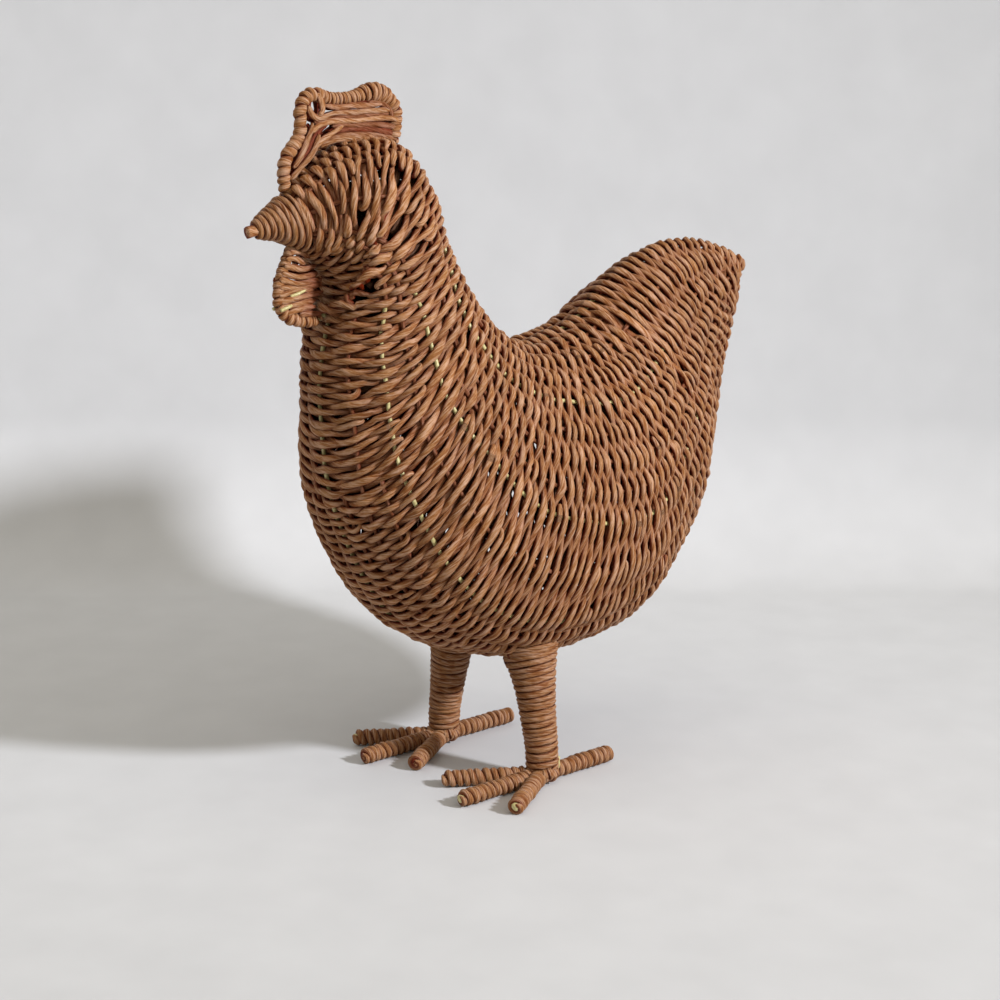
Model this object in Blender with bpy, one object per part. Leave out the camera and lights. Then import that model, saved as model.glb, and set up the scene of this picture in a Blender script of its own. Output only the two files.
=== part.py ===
"""Woven paper hen figure: faceted solids of its eight pieces.

The hen faces -Y, its left side is +X and +Z is up. The origin is on the floor,
at the middle of the figure's overall box. Lengths are in metres.
"""

import math

import bmesh
import bpy
import numpy as np
from mathutils import Vector
from mathutils.bvhtree import BVHTree

for leftover in list(bpy.data.objects):
    bpy.data.objects.remove(leftover, do_unlink=True)

# Overall sizes
HEIGHT = 0.380  # floor to the top of the comb
LENGTH = 0.356  # tip of the beak to tip of the tail
WIDTH = 0.146  # widest part of the body

# Flat pieces, legs and feet
PLATE_THICKNESS = 0.0066  # comb and wattle, the thickness of their wrapped rims
PLATE_ROUNDING = 0.0022  # how far their edges are rounded over
LEG_SPREAD = 0.0858  # distance between the middles of the two feet
LEG_LEAN = 0.0085  # how far each leg leans towards the middle at its top
ANKLE_DIAMETER = 0.0178  # a leg just above its foot
THIGH_DIAMETER = 0.0300  # the same leg where it meets the body
ANKLE_HEIGHT = 0.0103  # top of a foot's wrapped middle
TOE_DIAMETER = 0.0094
MIDDLE_TOE = 0.0585  # toe lengths, from the middle of the foot
SIDE_TOE = 0.0520
HIND_TOE = 0.0515
TOE_ANGLE = 32.5  # degrees between the middle toe and a side toe
HUB_DIAMETER = 0.0165  # wrapped middle of a foot
FEET_SHARE = -0.0593  # place of the feet along the length, from its middle
SEAT_GAP = 0.0003  # clearance between two pieces that touch

# Facets
AROUND_BODY = 32
RINGS_PER_STATION = 3
AROUND_LEG = 24
AROUND_TOE = 12

# The drawing below is on a grid of 356 by 380 by 146 units over the length,
# height and width, so the figure keeps its pose at any of those three sizes.
UNIT_Y = LENGTH / 356.0
UNIT_Z = HEIGHT / 380.0
UNIT_X = WIDTH / 146.0

# Body sections from the face to the tip of the tail: place of the top or back
# edge (y, z), place of the throat or belly edge (y, z), half width, how
# pointed the section is at each of those two edges, and how far its sides sag.
BODY_STATIONS = (
    (-156, 329, -144, 297, 14.5, 1.0, 1.0, 0.00),
    (-139, 344, -133, 285, 27.5, 1.0, 1.0, 0.00),
    (-117, 353, -130, 273, 35.0, 1.0, 1.0, 0.00),
    (-90, 352, -133, 263, 38.5, 1.0, 1.0, 0.00),
    (-70, 329, -136, 253, 40.0, 1.0, 1.0, 0.00),
    (-62, 306, -138, 240, 40.5, 1.0, 1.0, 0.00),
    (-51, 283, -139, 225, 44.0, 1.0, 1.0, 0.00),
    (-38, 263, -138, 205, 50.0, 1.0, 1.0, 0.00),
    (-19, 246, -136, 180, 57.5, 1.0, 1.0, 0.10),
    (-6, 240, -128, 153, 64.5, 1.0, 1.0, 0.15),
    (3, 239, -112, 121, 69.0, 1.0, 1.0, 0.20),
    (12, 241, -83, 87, 72.0, 1.0, 1.0, 0.20),
    (20, 243, -36, 68, 73.0, 1.0, 1.0, 0.20),
    (32, 246, 15, 63, 70.0, 1.0, 1.0, 0.15),
    (45, 254, 65, 71, 62.0, 1.0, 1.0, 0.10),
    (60, 266, 103, 92, 50.0, 1.0, 1.1, 0.00),
    (80, 277, 131, 120, 37.5, 1.0, 1.2, 0.00),
    (106, 285, 147, 155, 23.0, 1.1, 1.3, 0.00),
    (133, 285, 156, 195, 13.0, 1.2, 1.3, 0.00),
    (157, 279, 167, 234, 7.5, 1.2, 1.2, 0.00),
    (178, 272, 174, 261, 3.2, 1.0, 1.0, 0.00),
)

# Beak sections in the same form, from the face to the tip.
BEAK_STATIONS = (
    (-156, 328.5, -144.5, 297.5, 14.0, 1.0, 1.0, 0.0),
    (-159.5, 325.5, -150, 300, 12.6, 1.0, 1.0, 0.0),
    (-164, 322.5, -156.5, 303, 10.2, 1.0, 1.0, 0.0),
    (-168.5, 319.5, -163, 305, 7.6, 1.0, 1.0, 0.0),
    (-173, 316, -169.5, 306, 5.2, 1.0, 1.0, 0.0),
    (-176, 313, -174.5, 306.5, 3.4, 1.0, 1.0, 0.0),
    (-178, 311, -177.7, 308, 1.5, 1.0, 1.0, 0.0),
)

# Free edges of the comb and the wattle, as (y, z), and the stretch of the
# body's top or throat edge that each one stands on, in stations.
COMB_EDGE = (
    (-157.5, 334), (-158, 338.5), (-154.8, 344.5), (-149.8, 350), (-148, 358.5),
    (-146.8, 368), (-142.8, 375), (-136.3, 377.8), (-128.5, 375.8), (-119.7, 374.4),
    (-110.4, 376.4), (-102.5, 379.2), (-95.8, 380), (-88.3, 377), (-83.2, 371.6),
    (-80.8, 364.5), (-81.3, 357), (-82.5, 351.5),
)
COMB_SEAT = (3.0, 0.333)
WATTLE_EDGE = (
    (-153, 298), (-156.4, 294.5), (-160.2, 288.5), (-162.6, 280), (-161.6, 272.5),
    (-157, 266.8), (-149, 262), (-141.5, 260.5),
)
WATTLE_SEAT = (3.0, 0.333)

# Leg outline: share of the leg's height, share of the way from the ankle's to
# the thigh's radius, and share of the lean.
LEG_STATIONS = (
    (0.00, 0.00, 0.00),
    (0.20, 0.03, 0.08),
    (0.40, 0.12, 0.30),
    (0.57, 0.24, 0.46),
    (0.70, 0.38, 0.60),
    (0.82, 0.60, 0.75),
    (0.92, 0.82, 0.90),
    (1.00, 1.00, 1.00),
)


def spline(rows, places):
    """Values of a natural cubic spline through the rows, at station numbers."""
    rows = np.asarray(rows, dtype=float)
    count = len(rows)
    system = np.zeros((count, count))
    right = np.zeros_like(rows)
    system[0, 0] = system[-1, -1] = 1.0
    for i in range(1, count - 1):
        system[i, i - 1 : i + 2] = (1.0, 4.0, 1.0)
        right[i] = 6.0 * (rows[i + 1] - 2.0 * rows[i] + rows[i - 1])
    bend = np.linalg.solve(system, right)
    places = np.clip(np.asarray(places, dtype=float), 0.0, count - 1.0)
    start = np.minimum(places.astype(int), count - 2)
    after = (places - start)[:, None]
    before = 1.0 - after
    return (
        before * rows[start]
        + after * rows[start + 1]
        + ((before**3 - before) * bend[start] + (after**3 - after) * bend[start + 1]) / 6.0
    )


def sections(stations, places, around):
    """Closed rings of points, one for each place along the stations."""
    rings = []
    for top_y, top_z, low_y, low_z, half, top_point, low_point, sag in spline(stations, places):
        ring = []
        for i in range(around):
            angle = 2.0 * math.pi * i / around
            side, rise = math.sin(angle), math.cos(angle)
            share = 0.5 + 0.5 * rise
            power = low_point + (top_point - low_point) * share
            along = rise - sag * side * side
            across = math.copysign(abs(side) ** power, side) if abs(side) > 1e-9 else 0.0
            ring.append(
                Vector(
                    (
                        UNIT_X * half * across,
                        UNIT_Y * (0.5 * (top_y + low_y) + 0.5 * (top_y - low_y) * along),
                        UNIT_Z * (0.5 * (top_z + low_z) + 0.5 * (top_z - low_z) * along),
                    )
                )
            )
        rings.append(ring)
    return rings


def paper_rope(name, colour):
    """Plain twisted-paper material for one piece."""
    material = bpy.data.materials.new(name + "_paper_rope")
    material.use_nodes = True
    shader = material.node_tree.nodes["Principled BSDF"]
    shader.inputs["Base Color"].default_value = (*colour, 1.0)
    shader.inputs["Roughness"].default_value = 0.75
    return material


def add_piece(name, points, faces, colour=(0.42, 0.19, 0.10), crease=35.0):
    """A closed mesh object with outward faces and its own material."""
    mesh = bpy.data.meshes.new(name)
    mesh.from_pydata([tuple(point) for point in points], [], faces)
    work = bmesh.new()
    work.from_mesh(mesh)
    bmesh.ops.recalc_face_normals(work, faces=work.faces[:])
    work.to_mesh(mesh)
    work.free()
    for face in mesh.polygons:
        face.use_smooth = True
    mesh.set_sharp_from_angle(angle=math.radians(crease))
    piece = bpy.data.objects.new(name, mesh)
    mesh.materials.append(paper_rope(name, colour))
    bpy.context.scene.collection.objects.link(piece)
    return piece


def skin(rings, close_start=True, close_end=True):
    """Points and faces of a tube through rings of equal count."""
    around = len(rings[0])
    points = [point for ring in rings for point in ring]
    faces = []
    for row in range(len(rings) - 1):
        for i in range(around):
            a, b = row * around + i, row * around + (i + 1) % around
            faces.append((a, b, b + around, a + around))
    if close_start:
        faces.append(tuple(range(around - 1, -1, -1)))
    if close_end:
        faces.append(tuple(range(len(points) - around, len(points))))
    return points, faces


def smooth_line(points, steps):
    """Catmull-Rom line through (y, z) points, with both ends kept."""
    padded = [points[0], *points, points[-1]]
    line = []
    for i in range(1, len(padded) - 2):
        p0, p1, p2, p3 = (np.array(padded[i + k], dtype=float) for k in (-1, 0, 1, 2))
        for step in range(steps):
            t = step / steps
            line.append(
                0.5 * (2 * p1 + (p2 - p0) * t + (2 * p0 - 5 * p1 + 4 * p2 - p3) * t**2 + (3 * p1 - p0 - 3 * p2 + p3) * t**3)
            )
    line.append(np.array(points[-1], dtype=float))
    return line


def body_edge(place_from, place_to, top):
    """The body's top or throat edge as (y, z) points, stood off by the seat gap."""
    places = [k / RINGS_PER_STATION for k in range(RINGS_PER_STATION * (len(BODY_STATIONS) - 1) + 1)]
    low, high = sorted((place_from, place_to))
    chosen = [place for place in places if low - 1e-3 <= place <= high + 1e-3]
    if place_from > place_to:
        chosen.reverse()
    values = spline(BODY_STATIONS, places)
    edge = np.stack([values[:, 0] * UNIT_Y, values[:, 1] * UNIT_Z], 1) if top else np.stack([values[:, 2] * UNIT_Y, values[:, 3] * UNIT_Z], 1)
    middle = 0.5 * np.stack([(values[:, 0] + values[:, 2]) * UNIT_Y, (values[:, 1] + values[:, 3]) * UNIT_Z], 1)
    found = []
    for place in chosen:
        i = places.index(place)
        before, after = edge[max(i - 1, 0)], edge[min(i + 1, len(edge) - 1)]
        run = (after - before) / np.linalg.norm(after - before)
        normal = np.array((-run[1], run[0]))
        if normal @ (edge[i] - middle[i]) < 0.0:
            normal = -normal
        found.append(edge[i] + normal * SEAT_GAP * 1.15)
    return found


def plate(name, free_edge, seat, top):
    """Flat piece in the middle plane, with rounded edges, standing on the body."""
    line = [np.array((point[0] * UNIT_Y, point[1] * UNIT_Z)) for point in smooth_line(free_edge, 2)]
    outline = line + body_edge(*seat, top)
    area = sum(outline[i - 1][0] * outline[i][1] - outline[i][0] * outline[i - 1][1] for i in range(len(outline)))
    if area < 0.0:
        outline.reverse()
    half = PLATE_THICKNESS / 2.0
    reach = min(PLATE_ROUNDING, half)
    inward = []
    for i, here in enumerate(outline):
        before, after = outline[i - 1], outline[(i + 1) % len(outline)]
        first = (here - before) / np.linalg.norm(here - before)
        second = (after - here) / np.linalg.norm(after - here)
        normal = np.array((-(first + second)[1], (first + second)[0]))
        normal /= np.linalg.norm(normal)
        inward.append(normal / max(abs(normal @ np.array((-first[1], first[0]))), 0.75))
    rings = []
    for degrees in (90, 55, 20, -20, -55, -90):
        turn = math.radians(degrees)
        inset = reach * (1.0 - math.cos(turn))
        x = half * math.sin(turn)
        rings.append([Vector((x, *(point + direction * inset))) for point, direction in zip(outline, inward)])
    return add_piece(name, *skin(rings))


def beak():
    """Cone of coiled rope in front of the face, clear of it by the seat gap."""
    places = [k / 2 for k in range(2 * (len(BEAK_STATIONS) - 1) + 1)]
    rings = sections(BEAK_STATIONS, places, AROUND_LEG)
    face_top = Vector((0.0, UNIT_Y * BODY_STATIONS[0][0], UNIT_Z * BODY_STATIONS[0][1]))
    face_low = Vector((0.0, UNIT_Y * BODY_STATIONS[0][2], UNIT_Z * BODY_STATIONS[0][3]))
    out = Vector((1.0, 0.0, 0.0)).cross(face_top - face_low).normalized()
    if out.y > 0.0:
        out = -out
    for ring in rings:
        for point in ring:
            short = SEAT_GAP - (point - face_top).dot(out)
            if short > 0.0 or ring is rings[0]:
                point += out * short
    return add_piece("beak", *skin(rings))


def underside(tree, x, y):
    """Height of the body's underside over a point of the floor."""
    hit = tree.ray_cast(Vector((x, y, 0.0)), Vector((0.0, 0.0, 1.0)))[0]
    return hit.z if hit else HEIGHT * 0.22


def leg(name, side, tree):
    """Wrapped leg that flares up to the body's underside."""
    feet_y = FEET_SHARE * LENGTH
    foot_x = side * LEG_SPREAD / 2.0
    thigh_x = foot_x - side * LEG_LEAN
    low = ANKLE_HEIGHT + SEAT_GAP
    top = underside(tree, thigh_x, feet_y)
    rings = []
    for share, swell, lean in LEG_STATIONS:
        radius = 0.5 * (ANKLE_DIAMETER + (THIGH_DIAMETER - ANKLE_DIAMETER) * swell)
        centre_x = foot_x - side * LEG_LEAN * lean
        ring = []
        for i in range(AROUND_LEG):
            turn = 2.0 * math.pi * i / AROUND_LEG
            x, y = centre_x + radius * math.cos(turn), feet_y + radius * math.sin(turn)
            ceiling = underside(tree, x, y) - SEAT_GAP * 1.4
            level = low + (top - low) * share
            ring.append(Vector((x, y, min(level, ceiling) if share < 1.0 else ceiling)))
        rings.append(ring)
    for row in range(len(rings) - 2, 0, -1):
        for i in range(AROUND_LEG):
            limit = rings[row + 1][i].z - 0.0012
            if rings[row][i].z > limit:
                rings[row][i].z = limit
    points, faces = skin(rings, close_end=False)
    # The top follows the body in smaller and smaller rings.
    outer = len(points) - AROUND_LEG
    for share in (0.75, 0.5, 0.25):
        start = len(points)
        for i in range(AROUND_LEG):
            turn = 2.0 * math.pi * i / AROUND_LEG
            radius = 0.5 * THIGH_DIAMETER * share
            x, y = thigh_x + radius * math.cos(turn), feet_y + radius * math.sin(turn)
            points.append(Vector((x, y, underside(tree, x, y) - SEAT_GAP * 1.4)))
        for i in range(AROUND_LEG):
            j = (i + 1) % AROUND_LEG
            faces.append((outer + i, outer + j, start + j, start + i))
        outer = start
    points.append(Vector((thigh_x, feet_y, top - SEAT_GAP * 1.4)))
    for i in range(AROUND_LEG):
        faces.append((outer + i, outer + (i + 1) % AROUND_LEG, len(points) - 1))
    return add_piece(name, points, faces)


def toe(name, x, y, degrees, length):
    """One wrapped toe, lying on the floor and pointing away from (x, y)."""
    radius = TOE_DIAMETER / 2.0
    turn = math.radians(degrees)
    ahead = Vector((math.sin(turn), -math.cos(turn), 0.0))
    across = Vector((math.cos(turn), math.sin(turn), 0.0))
    rings = []
    for place, share in ((0.0, 1.0), (0.5, 1.0), (length / radius - 1.1, 1.0), (length / radius - 0.45, 0.86), (length / radius - 0.1, 0.58), (length / radius, 0.3)):
        centre = Vector((x, y, radius)) + ahead * (place * radius)
        size = radius * share / math.cos(math.pi / AROUND_TOE)
        ring = []
        for i in range(AROUND_TOE):
            angle = 2.0 * math.pi * (i + 0.5) / AROUND_TOE
            ring.append(centre + across * (size * math.sin(angle)) + Vector((0.0, 0.0, size * math.cos(angle))))
        rings.append(ring)
    return add_piece(name, *skin(rings))


def foot(name, side):
    """Three front toes, a hind toe and the wrapped middle, joined into one solid."""
    x, y = side * LEG_SPREAD / 2.0, FEET_SHARE * LENGTH
    rings = []
    for level, share in ((0.0, 0.96), (ANKLE_HEIGHT * 0.2, 1.0), (ANKLE_HEIGHT * 0.75, 1.0), (ANKLE_HEIGHT, 0.85)):
        rings.append(
            [
                Vector((x + 0.5 * HUB_DIAMETER * share * math.cos(2 * math.pi * i / 16), y + 0.5 * HUB_DIAMETER * share * math.sin(2 * math.pi * i / 16), level))
                for i in range(16)
            ]
        )
    body = add_piece(name, *skin(rings))
    for degrees, length in ((0.0, MIDDLE_TOE), (TOE_ANGLE, SIDE_TOE), (-TOE_ANGLE, SIDE_TOE), (180.0, HIND_TOE)):
        rod = toe(name + "_rod", x, y, degrees, length)
        join = body.modifiers.new("join", "BOOLEAN")
        join.operation = "UNION"
        join.solver = "EXACT"
        join.object = rod
        bpy.context.view_layer.objects.active = body
        bpy.ops.object.modifier_apply(modifier=join.name)
        bpy.data.objects.remove(rod, do_unlink=True)
    return body


def build():
    """All eight pieces of the hen."""
    last = len(BODY_STATIONS) - 1
    places = [k / RINGS_PER_STATION for k in range(RINGS_PER_STATION * last + 1)]
    points, faces = skin(sections(BODY_STATIONS, places, AROUND_BODY))
    add_piece("woven_body", points, faces)
    tree = BVHTree.FromPolygons(points, faces)
    beak()
    plate("comb", COMB_EDGE, COMB_SEAT, True)
    plate("wattle", WATTLE_EDGE, WATTLE_SEAT, False)
    for name, side in (("left", 1.0), ("right", -1.0)):
        leg(name + "_leg", side, tree)
        foot(name + "_foot", side)


build()
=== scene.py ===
"""Looks of a woven paper hen: twisted paper rope over a coated steel wire frame.

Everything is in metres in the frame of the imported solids: the hen faces -Y,
its left side is +X, +Z is up and the floor is at Z = 0.
"""

import logging
import math
from dataclasses import dataclass, field
from enum import Enum

import bpy
import numpy as np
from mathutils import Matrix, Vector
from mathutils.kdtree import KDTree


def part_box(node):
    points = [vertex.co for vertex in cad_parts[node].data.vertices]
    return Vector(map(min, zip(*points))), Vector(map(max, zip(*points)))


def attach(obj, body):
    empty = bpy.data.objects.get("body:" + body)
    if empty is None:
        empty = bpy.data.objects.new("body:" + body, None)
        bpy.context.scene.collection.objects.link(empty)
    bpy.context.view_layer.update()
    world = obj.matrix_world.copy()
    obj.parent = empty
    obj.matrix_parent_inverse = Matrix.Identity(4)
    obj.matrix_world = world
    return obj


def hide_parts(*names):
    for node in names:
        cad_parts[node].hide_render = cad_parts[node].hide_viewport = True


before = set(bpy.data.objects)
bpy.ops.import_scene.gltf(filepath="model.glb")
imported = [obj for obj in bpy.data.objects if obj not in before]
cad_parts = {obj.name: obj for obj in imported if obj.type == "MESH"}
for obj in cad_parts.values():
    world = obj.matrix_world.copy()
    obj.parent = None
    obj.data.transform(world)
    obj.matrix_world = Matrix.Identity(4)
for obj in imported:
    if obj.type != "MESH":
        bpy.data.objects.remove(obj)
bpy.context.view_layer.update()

Point = tuple[float, float, float]
Table = tuple[tuple[float, ...], ...]

MM = 0.001
GOLDEN = 0.6180339887  # spreads the short rows' lengths evenly
ACROSS = np.array([1.0, 0.0, 0.0])  # towards the hen's left
UP = np.array([0.0, 0.0, 1.0])
log = logging.getLogger("woven_hen")


def linear(hex_colour: str, alpha: float = 1.0) -> tuple[float, float, float, float]:
    """Turns an sRGB hex colour to linear RGBA.

    Args:
        hex_colour: Six hex digits, with or without a leading hash.
        alpha: The fourth value of the result.

    Returns:
        Linear red, green and blue, and alpha.
    """
    digits = hex_colour.lstrip("#")
    parts = [int(digits[i : i + 2], 16) / 255.0 for i in (0, 2, 4)]
    red, green, blue = (
        value / 12.92 if value <= 0.04045 else ((value + 0.055) / 1.055) ** 2.4 for value in parts
    )
    return (red, green, blue, alpha)


def add_node(
    tree: bpy.types.NodeTree,
    kind: str,
    settings: dict | None = None,
    inputs: dict | None = None,
    links: dict | None = None,
) -> bpy.types.Node:
    """Adds one node with its settings, input values and incoming links.

    Args:
        tree: The material's, light's or world's tree that gets the node.
        kind: The node's type name.
        settings: Attributes of the node itself.
        inputs: Values for its input sockets, by name or number.
        links: Output sockets to join to its inputs, by name or number.

    Returns:
        The new node.
    """
    node = tree.nodes.new(kind)
    for name, value in (settings or {}).items():
        setattr(node, name, value)
    for name, value in (inputs or {}).items():
        node.inputs[name].default_value = value
    for name, socket in (links or {}).items():
        tree.links.new(socket, node.inputs[name])
    return node


def set_ramp(node: bpy.types.Node, stops: list[tuple[float, tuple[float, float, float, float]]]) -> None:
    """Sets the stops of a colour ramp node.

    Args:
        node: The colour ramp.
        stops: Position and linear colour of each stop, in order.
    """
    ramp = node.color_ramp
    while len(ramp.elements) < len(stops):
        ramp.elements.new(1.0)
    for element, (place, colour) in zip(ramp.elements, stops):
        element.position = place
        element.color = colour


@dataclass(frozen=True)
class TwistedPaperRope:
    """Kraft paper twisted into rope and dyed cinnamon brown.

    The paper is creased lengthwise as it is twisted, so the rope shows fine
    slanting streaks with the weak broad shine of smooth paper. The colour
    follows the creases' relief: painted highlight on the paler ridges and
    painted shade in the darker folds. Painted shade also darkens and reddens
    the sides of each rope, where ropes press together, and the ropes lying deep.
    """

    name: str = "twisted_kraft_paper"
    fold_shade: str = "#7E461F"
    body: str = "#A27148"
    ridge_highlight: str = "#C0987C"
    fleck: str = "#A4743C"
    crevice_shade: str = "#A64E16"  # painted shade: the colour multiplied in deep between ropes and on their sides
    fold_mm: float = 0.8  # width of a fold across the rope
    fold_length_mm: float = 14.0
    crease_mm: float = 0.33  # width of a fine crease across the rope
    crease_length_mm: float = 6.0
    blotch_mm: float = 22.0  # uneven dye along a rope
    roughness: float = 0.5

    def material(self) -> bpy.types.Material:
        """Builds the paper rope's material, read from each rope's own coordinates.

        Returns:
            The material.
        """
        made = bpy.data.materials.new(self.name)
        made.use_nodes = True
        tree = made.node_tree
        shader = tree.nodes["Principled BSDF"]
        strand = add_node(tree, "ShaderNodeAttribute", {"attribute_name": "strand"})
        tone = add_node(tree, "ShaderNodeAttribute", {"attribute_name": "tone"})
        hollow = add_node(tree, "ShaderNodeAttribute", {"attribute_name": "hollow"})
        layers = []
        for width, length in ((self.fold_mm, self.fold_length_mm), (self.crease_mm, self.crease_length_mm)):
            across, along = 0.5 / (width * MM), 1.0 / (length * MM)
            stretched = add_node(
                tree,
                "ShaderNodeVectorMath",
                {"operation": "MULTIPLY"},
                {1: (across, across, along)},
                {0: strand.outputs["Vector"]},
            )
            layers.append(
                add_node(
                    tree,
                    "ShaderNodeTexNoise",
                    {"noise_dimensions": "3D"},
                    {"Scale": 1.0, "Detail": 3.0, "Roughness": 0.6},
                    {"Vector": stretched.outputs[0]},
                )
            )
        creases = add_node(
            tree,
            "ShaderNodeMix",
            {"data_type": "FLOAT"},
            {0: 0.64},
            {2: layers[0].outputs["Fac"], 3: layers[1].outputs["Fac"]},
        )
        dye = add_node(
            tree,
            "ShaderNodeTexNoise",
            {"noise_dimensions": "3D"},
            {"Scale": 1.0 / (self.blotch_mm * MM), "Detail": 2.0, "Roughness": 0.5},
            {"Vector": strand.outputs["Vector"]},
        )
        shade = add_node(
            tree,
            "ShaderNodeMapRange",
            None,
            {"From Min": 0.41, "From Max": 0.60, "To Min": 0.0, "To Max": 1.0},
            {"Value": creases.outputs[0]},
        )
        colours = add_node(tree, "ShaderNodeValToRGB", None, None, {"Fac": shade.outputs["Result"]})
        # The colour follows the crease relief that the bump uses: painted shade in the folds and painted
        # highlight on the ridges.
        set_ramp(
            colours,
            [(0.0, linear(self.fold_shade)), (0.38, linear(self.body)), (0.95, linear(self.ridge_highlight))],
        )
        uneven = add_node(
            tree,
            "ShaderNodeMapRange",
            None,
            {"From Min": 0.35, "From Max": 0.7, "To Min": 0.0, "To Max": 0.35},
            {"Value": dye.outputs["Fac"]},
        )
        flecked = add_node(
            tree,
            "ShaderNodeMix",
            {"data_type": "RGBA", "blend_type": "MIX"},
            {7: linear(self.fleck)},
            {0: uneven.outputs["Result"], 6: colours.outputs["Color"]},
        )
        # Painted shade: darker and redder on each rope's sides and where it lies deep among the others, as
        # the hollow attribute says.
        crevice_shaded = add_node(
            tree,
            "ShaderNodeMix",
            {"data_type": "RGBA", "blend_type": "MULTIPLY"},
            {7: linear(self.crevice_shade)},
            {0: hollow.outputs["Fac"], 6: flecked.outputs[2]},
        )
        toned = add_node(
            tree,
            "ShaderNodeHueSaturation",
            None,
            {"Saturation": 1.0},
            {"Value": tone.outputs["Fac"], "Color": crevice_shaded.outputs[2]},
        )
        tree.links.new(toned.outputs["Color"], shader.inputs["Base Color"])
        rough = add_node(
            tree,
            "ShaderNodeMapRange",
            None,
            {
                "From Min": 0.3,
                "From Max": 0.7,
                "To Min": self.roughness + 0.16,
                "To Max": self.roughness - 0.08,
            },
            {"Value": creases.outputs[0]},
        )
        tree.links.new(rough.outputs["Result"], shader.inputs["Roughness"])
        relief = add_node(
            tree,
            "ShaderNodeBump",
            None,
            {"Strength": 1.0, "Distance": 1.5 * MM},
            {"Height": creases.outputs[0]},
        )
        tree.links.new(relief.outputs["Normal"], shader.inputs["Normal"])
        shader.inputs["Specular IOR Level"].default_value = 0.16
        shader.inputs["IOR"].default_value = 1.5
        return made


@dataclass(frozen=True)
class CoatedSteelWire:
    """Drawn steel wire dipped in pale yellow plastic.

    The dipped coat is smooth and even, so it gives small clean highlights,
    with faint dust and drag marks along the wire.
    """

    name: str = "dipped_yellow_wire"
    coat: str = "#CCC086"
    dull: str = "#A99B60"
    mark_mm: float = 1.4
    roughness: float = 0.34

    def material(self) -> bpy.types.Material:
        """Builds the wire's material.

        Returns:
            The material.
        """
        made = bpy.data.materials.new(self.name)
        made.use_nodes = True
        tree = made.node_tree
        shader = tree.nodes["Principled BSDF"]
        strand = add_node(tree, "ShaderNodeAttribute", {"attribute_name": "strand"})
        marks = add_node(
            tree,
            "ShaderNodeTexNoise",
            None,
            {"Scale": 1.0 / (self.mark_mm * MM), "Detail": 3.0, "Roughness": 0.6},
            {"Vector": strand.outputs["Vector"]},
        )
        colours = add_node(tree, "ShaderNodeValToRGB", None, None, {"Fac": marks.outputs["Fac"]})
        set_ramp(colours, [(0.35, linear(self.dull)), (0.6, linear(self.coat))])
        tree.links.new(colours.outputs["Color"], shader.inputs["Base Color"])
        rough = add_node(
            tree,
            "ShaderNodeMapRange",
            None,
            {"To Min": self.roughness + 0.12, "To Max": self.roughness - 0.06},
            {"Value": marks.outputs["Fac"]},
        )
        tree.links.new(rough.outputs["Result"], shader.inputs["Roughness"])
        relief = add_node(
            tree,
            "ShaderNodeBump",
            None,
            {"Strength": 0.25, "Distance": 0.1 * MM},
            {"Height": marks.outputs["Fac"]},
        )
        tree.links.new(relief.outputs["Normal"], shader.inputs["Normal"])
        shader.inputs["IOR"].default_value = 1.5
        return made


@dataclass(frozen=True)
class StudioPaper:
    """Matt seamless background paper, faintly mottled by its pulp.

    The sheet's front is opaque and its back is clear, so the figure can be
    looked at from behind and below the sweep as well.
    """

    name: str = "seamless_studio_paper"
    pale: str = "#C8C8C7"
    grey: str = "#C4C4C3"
    pulp_mm: float = 40.0

    def material(self) -> bpy.types.Material:
        """Builds the background paper's material.

        Returns:
            The material.
        """
        made = bpy.data.materials.new(self.name)
        made.use_nodes = True
        tree = made.node_tree
        shader = tree.nodes["Principled BSDF"]
        place = add_node(tree, "ShaderNodeTexCoord")
        pulp = add_node(
            tree,
            "ShaderNodeTexNoise",
            None,
            {"Scale": 1.0 / (self.pulp_mm * MM), "Detail": 2.0},
            {"Vector": place.outputs["Object"]},
        )
        colours = add_node(tree, "ShaderNodeValToRGB", None, None, {"Fac": pulp.outputs["Fac"]})
        set_ramp(colours, [(0.3, linear(self.grey)), (0.7, linear(self.pale))])
        tree.links.new(colours.outputs["Color"], shader.inputs["Base Color"])
        shader.inputs["Roughness"].default_value = 0.9
        shader.inputs["Specular IOR Level"].default_value = 0.2
        side = add_node(tree, "ShaderNodeNewGeometry")
        clear = add_node(tree, "ShaderNodeBsdfTransparent")
        sheet = add_node(
            tree,
            "ShaderNodeMixShader",
            None,
            None,
            {0: side.outputs["Backfacing"], 1: shader.outputs["BSDF"], 2: clear.outputs["BSDF"]},
        )
        surface = tree.nodes["Material Output"].inputs["Surface"]
        tree.links.new(sheet.outputs["Shader"], surface)
        return made


def unit(vectors: np.ndarray) -> np.ndarray:
    """Scales vectors to length one.

    Args:
        vectors: Array whose last axis holds the components.

    Returns:
        Array of the same shape.
    """
    return vectors / np.maximum(np.linalg.norm(vectors, axis=-1, keepdims=True), 1e-12)


def spline(rows: np.ndarray, places: np.ndarray) -> np.ndarray:
    """Natural cubic spline through rows of values.

    Args:
        rows: One row of values for each whole station number.
        places: Station numbers to read, whole or not.

    Returns:
        One row of values for each place.
    """
    rows = np.asarray(rows, dtype=float)
    count = len(rows)
    system = np.zeros((count, count))
    right = np.zeros_like(rows)
    system[0, 0] = system[-1, -1] = 1.0
    for i in range(1, count - 1):
        system[i, i - 1 : i + 2] = (1.0, 4.0, 1.0)
        right[i] = 6.0 * (rows[i + 1] - 2.0 * rows[i] + rows[i - 1])
    bend = np.linalg.solve(system, right)
    places = np.clip(np.asarray(places, dtype=float), 0.0, count - 1.0)
    start = np.minimum(places.astype(int), count - 2)
    after = (places - start)[:, None]
    before = 1.0 - after
    return (
        before * rows[start]
        + after * rows[start + 1]
        + ((before**3 - before) * bend[start] + (after**3 - after) * bend[start + 1]) / 6.0
    )


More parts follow.
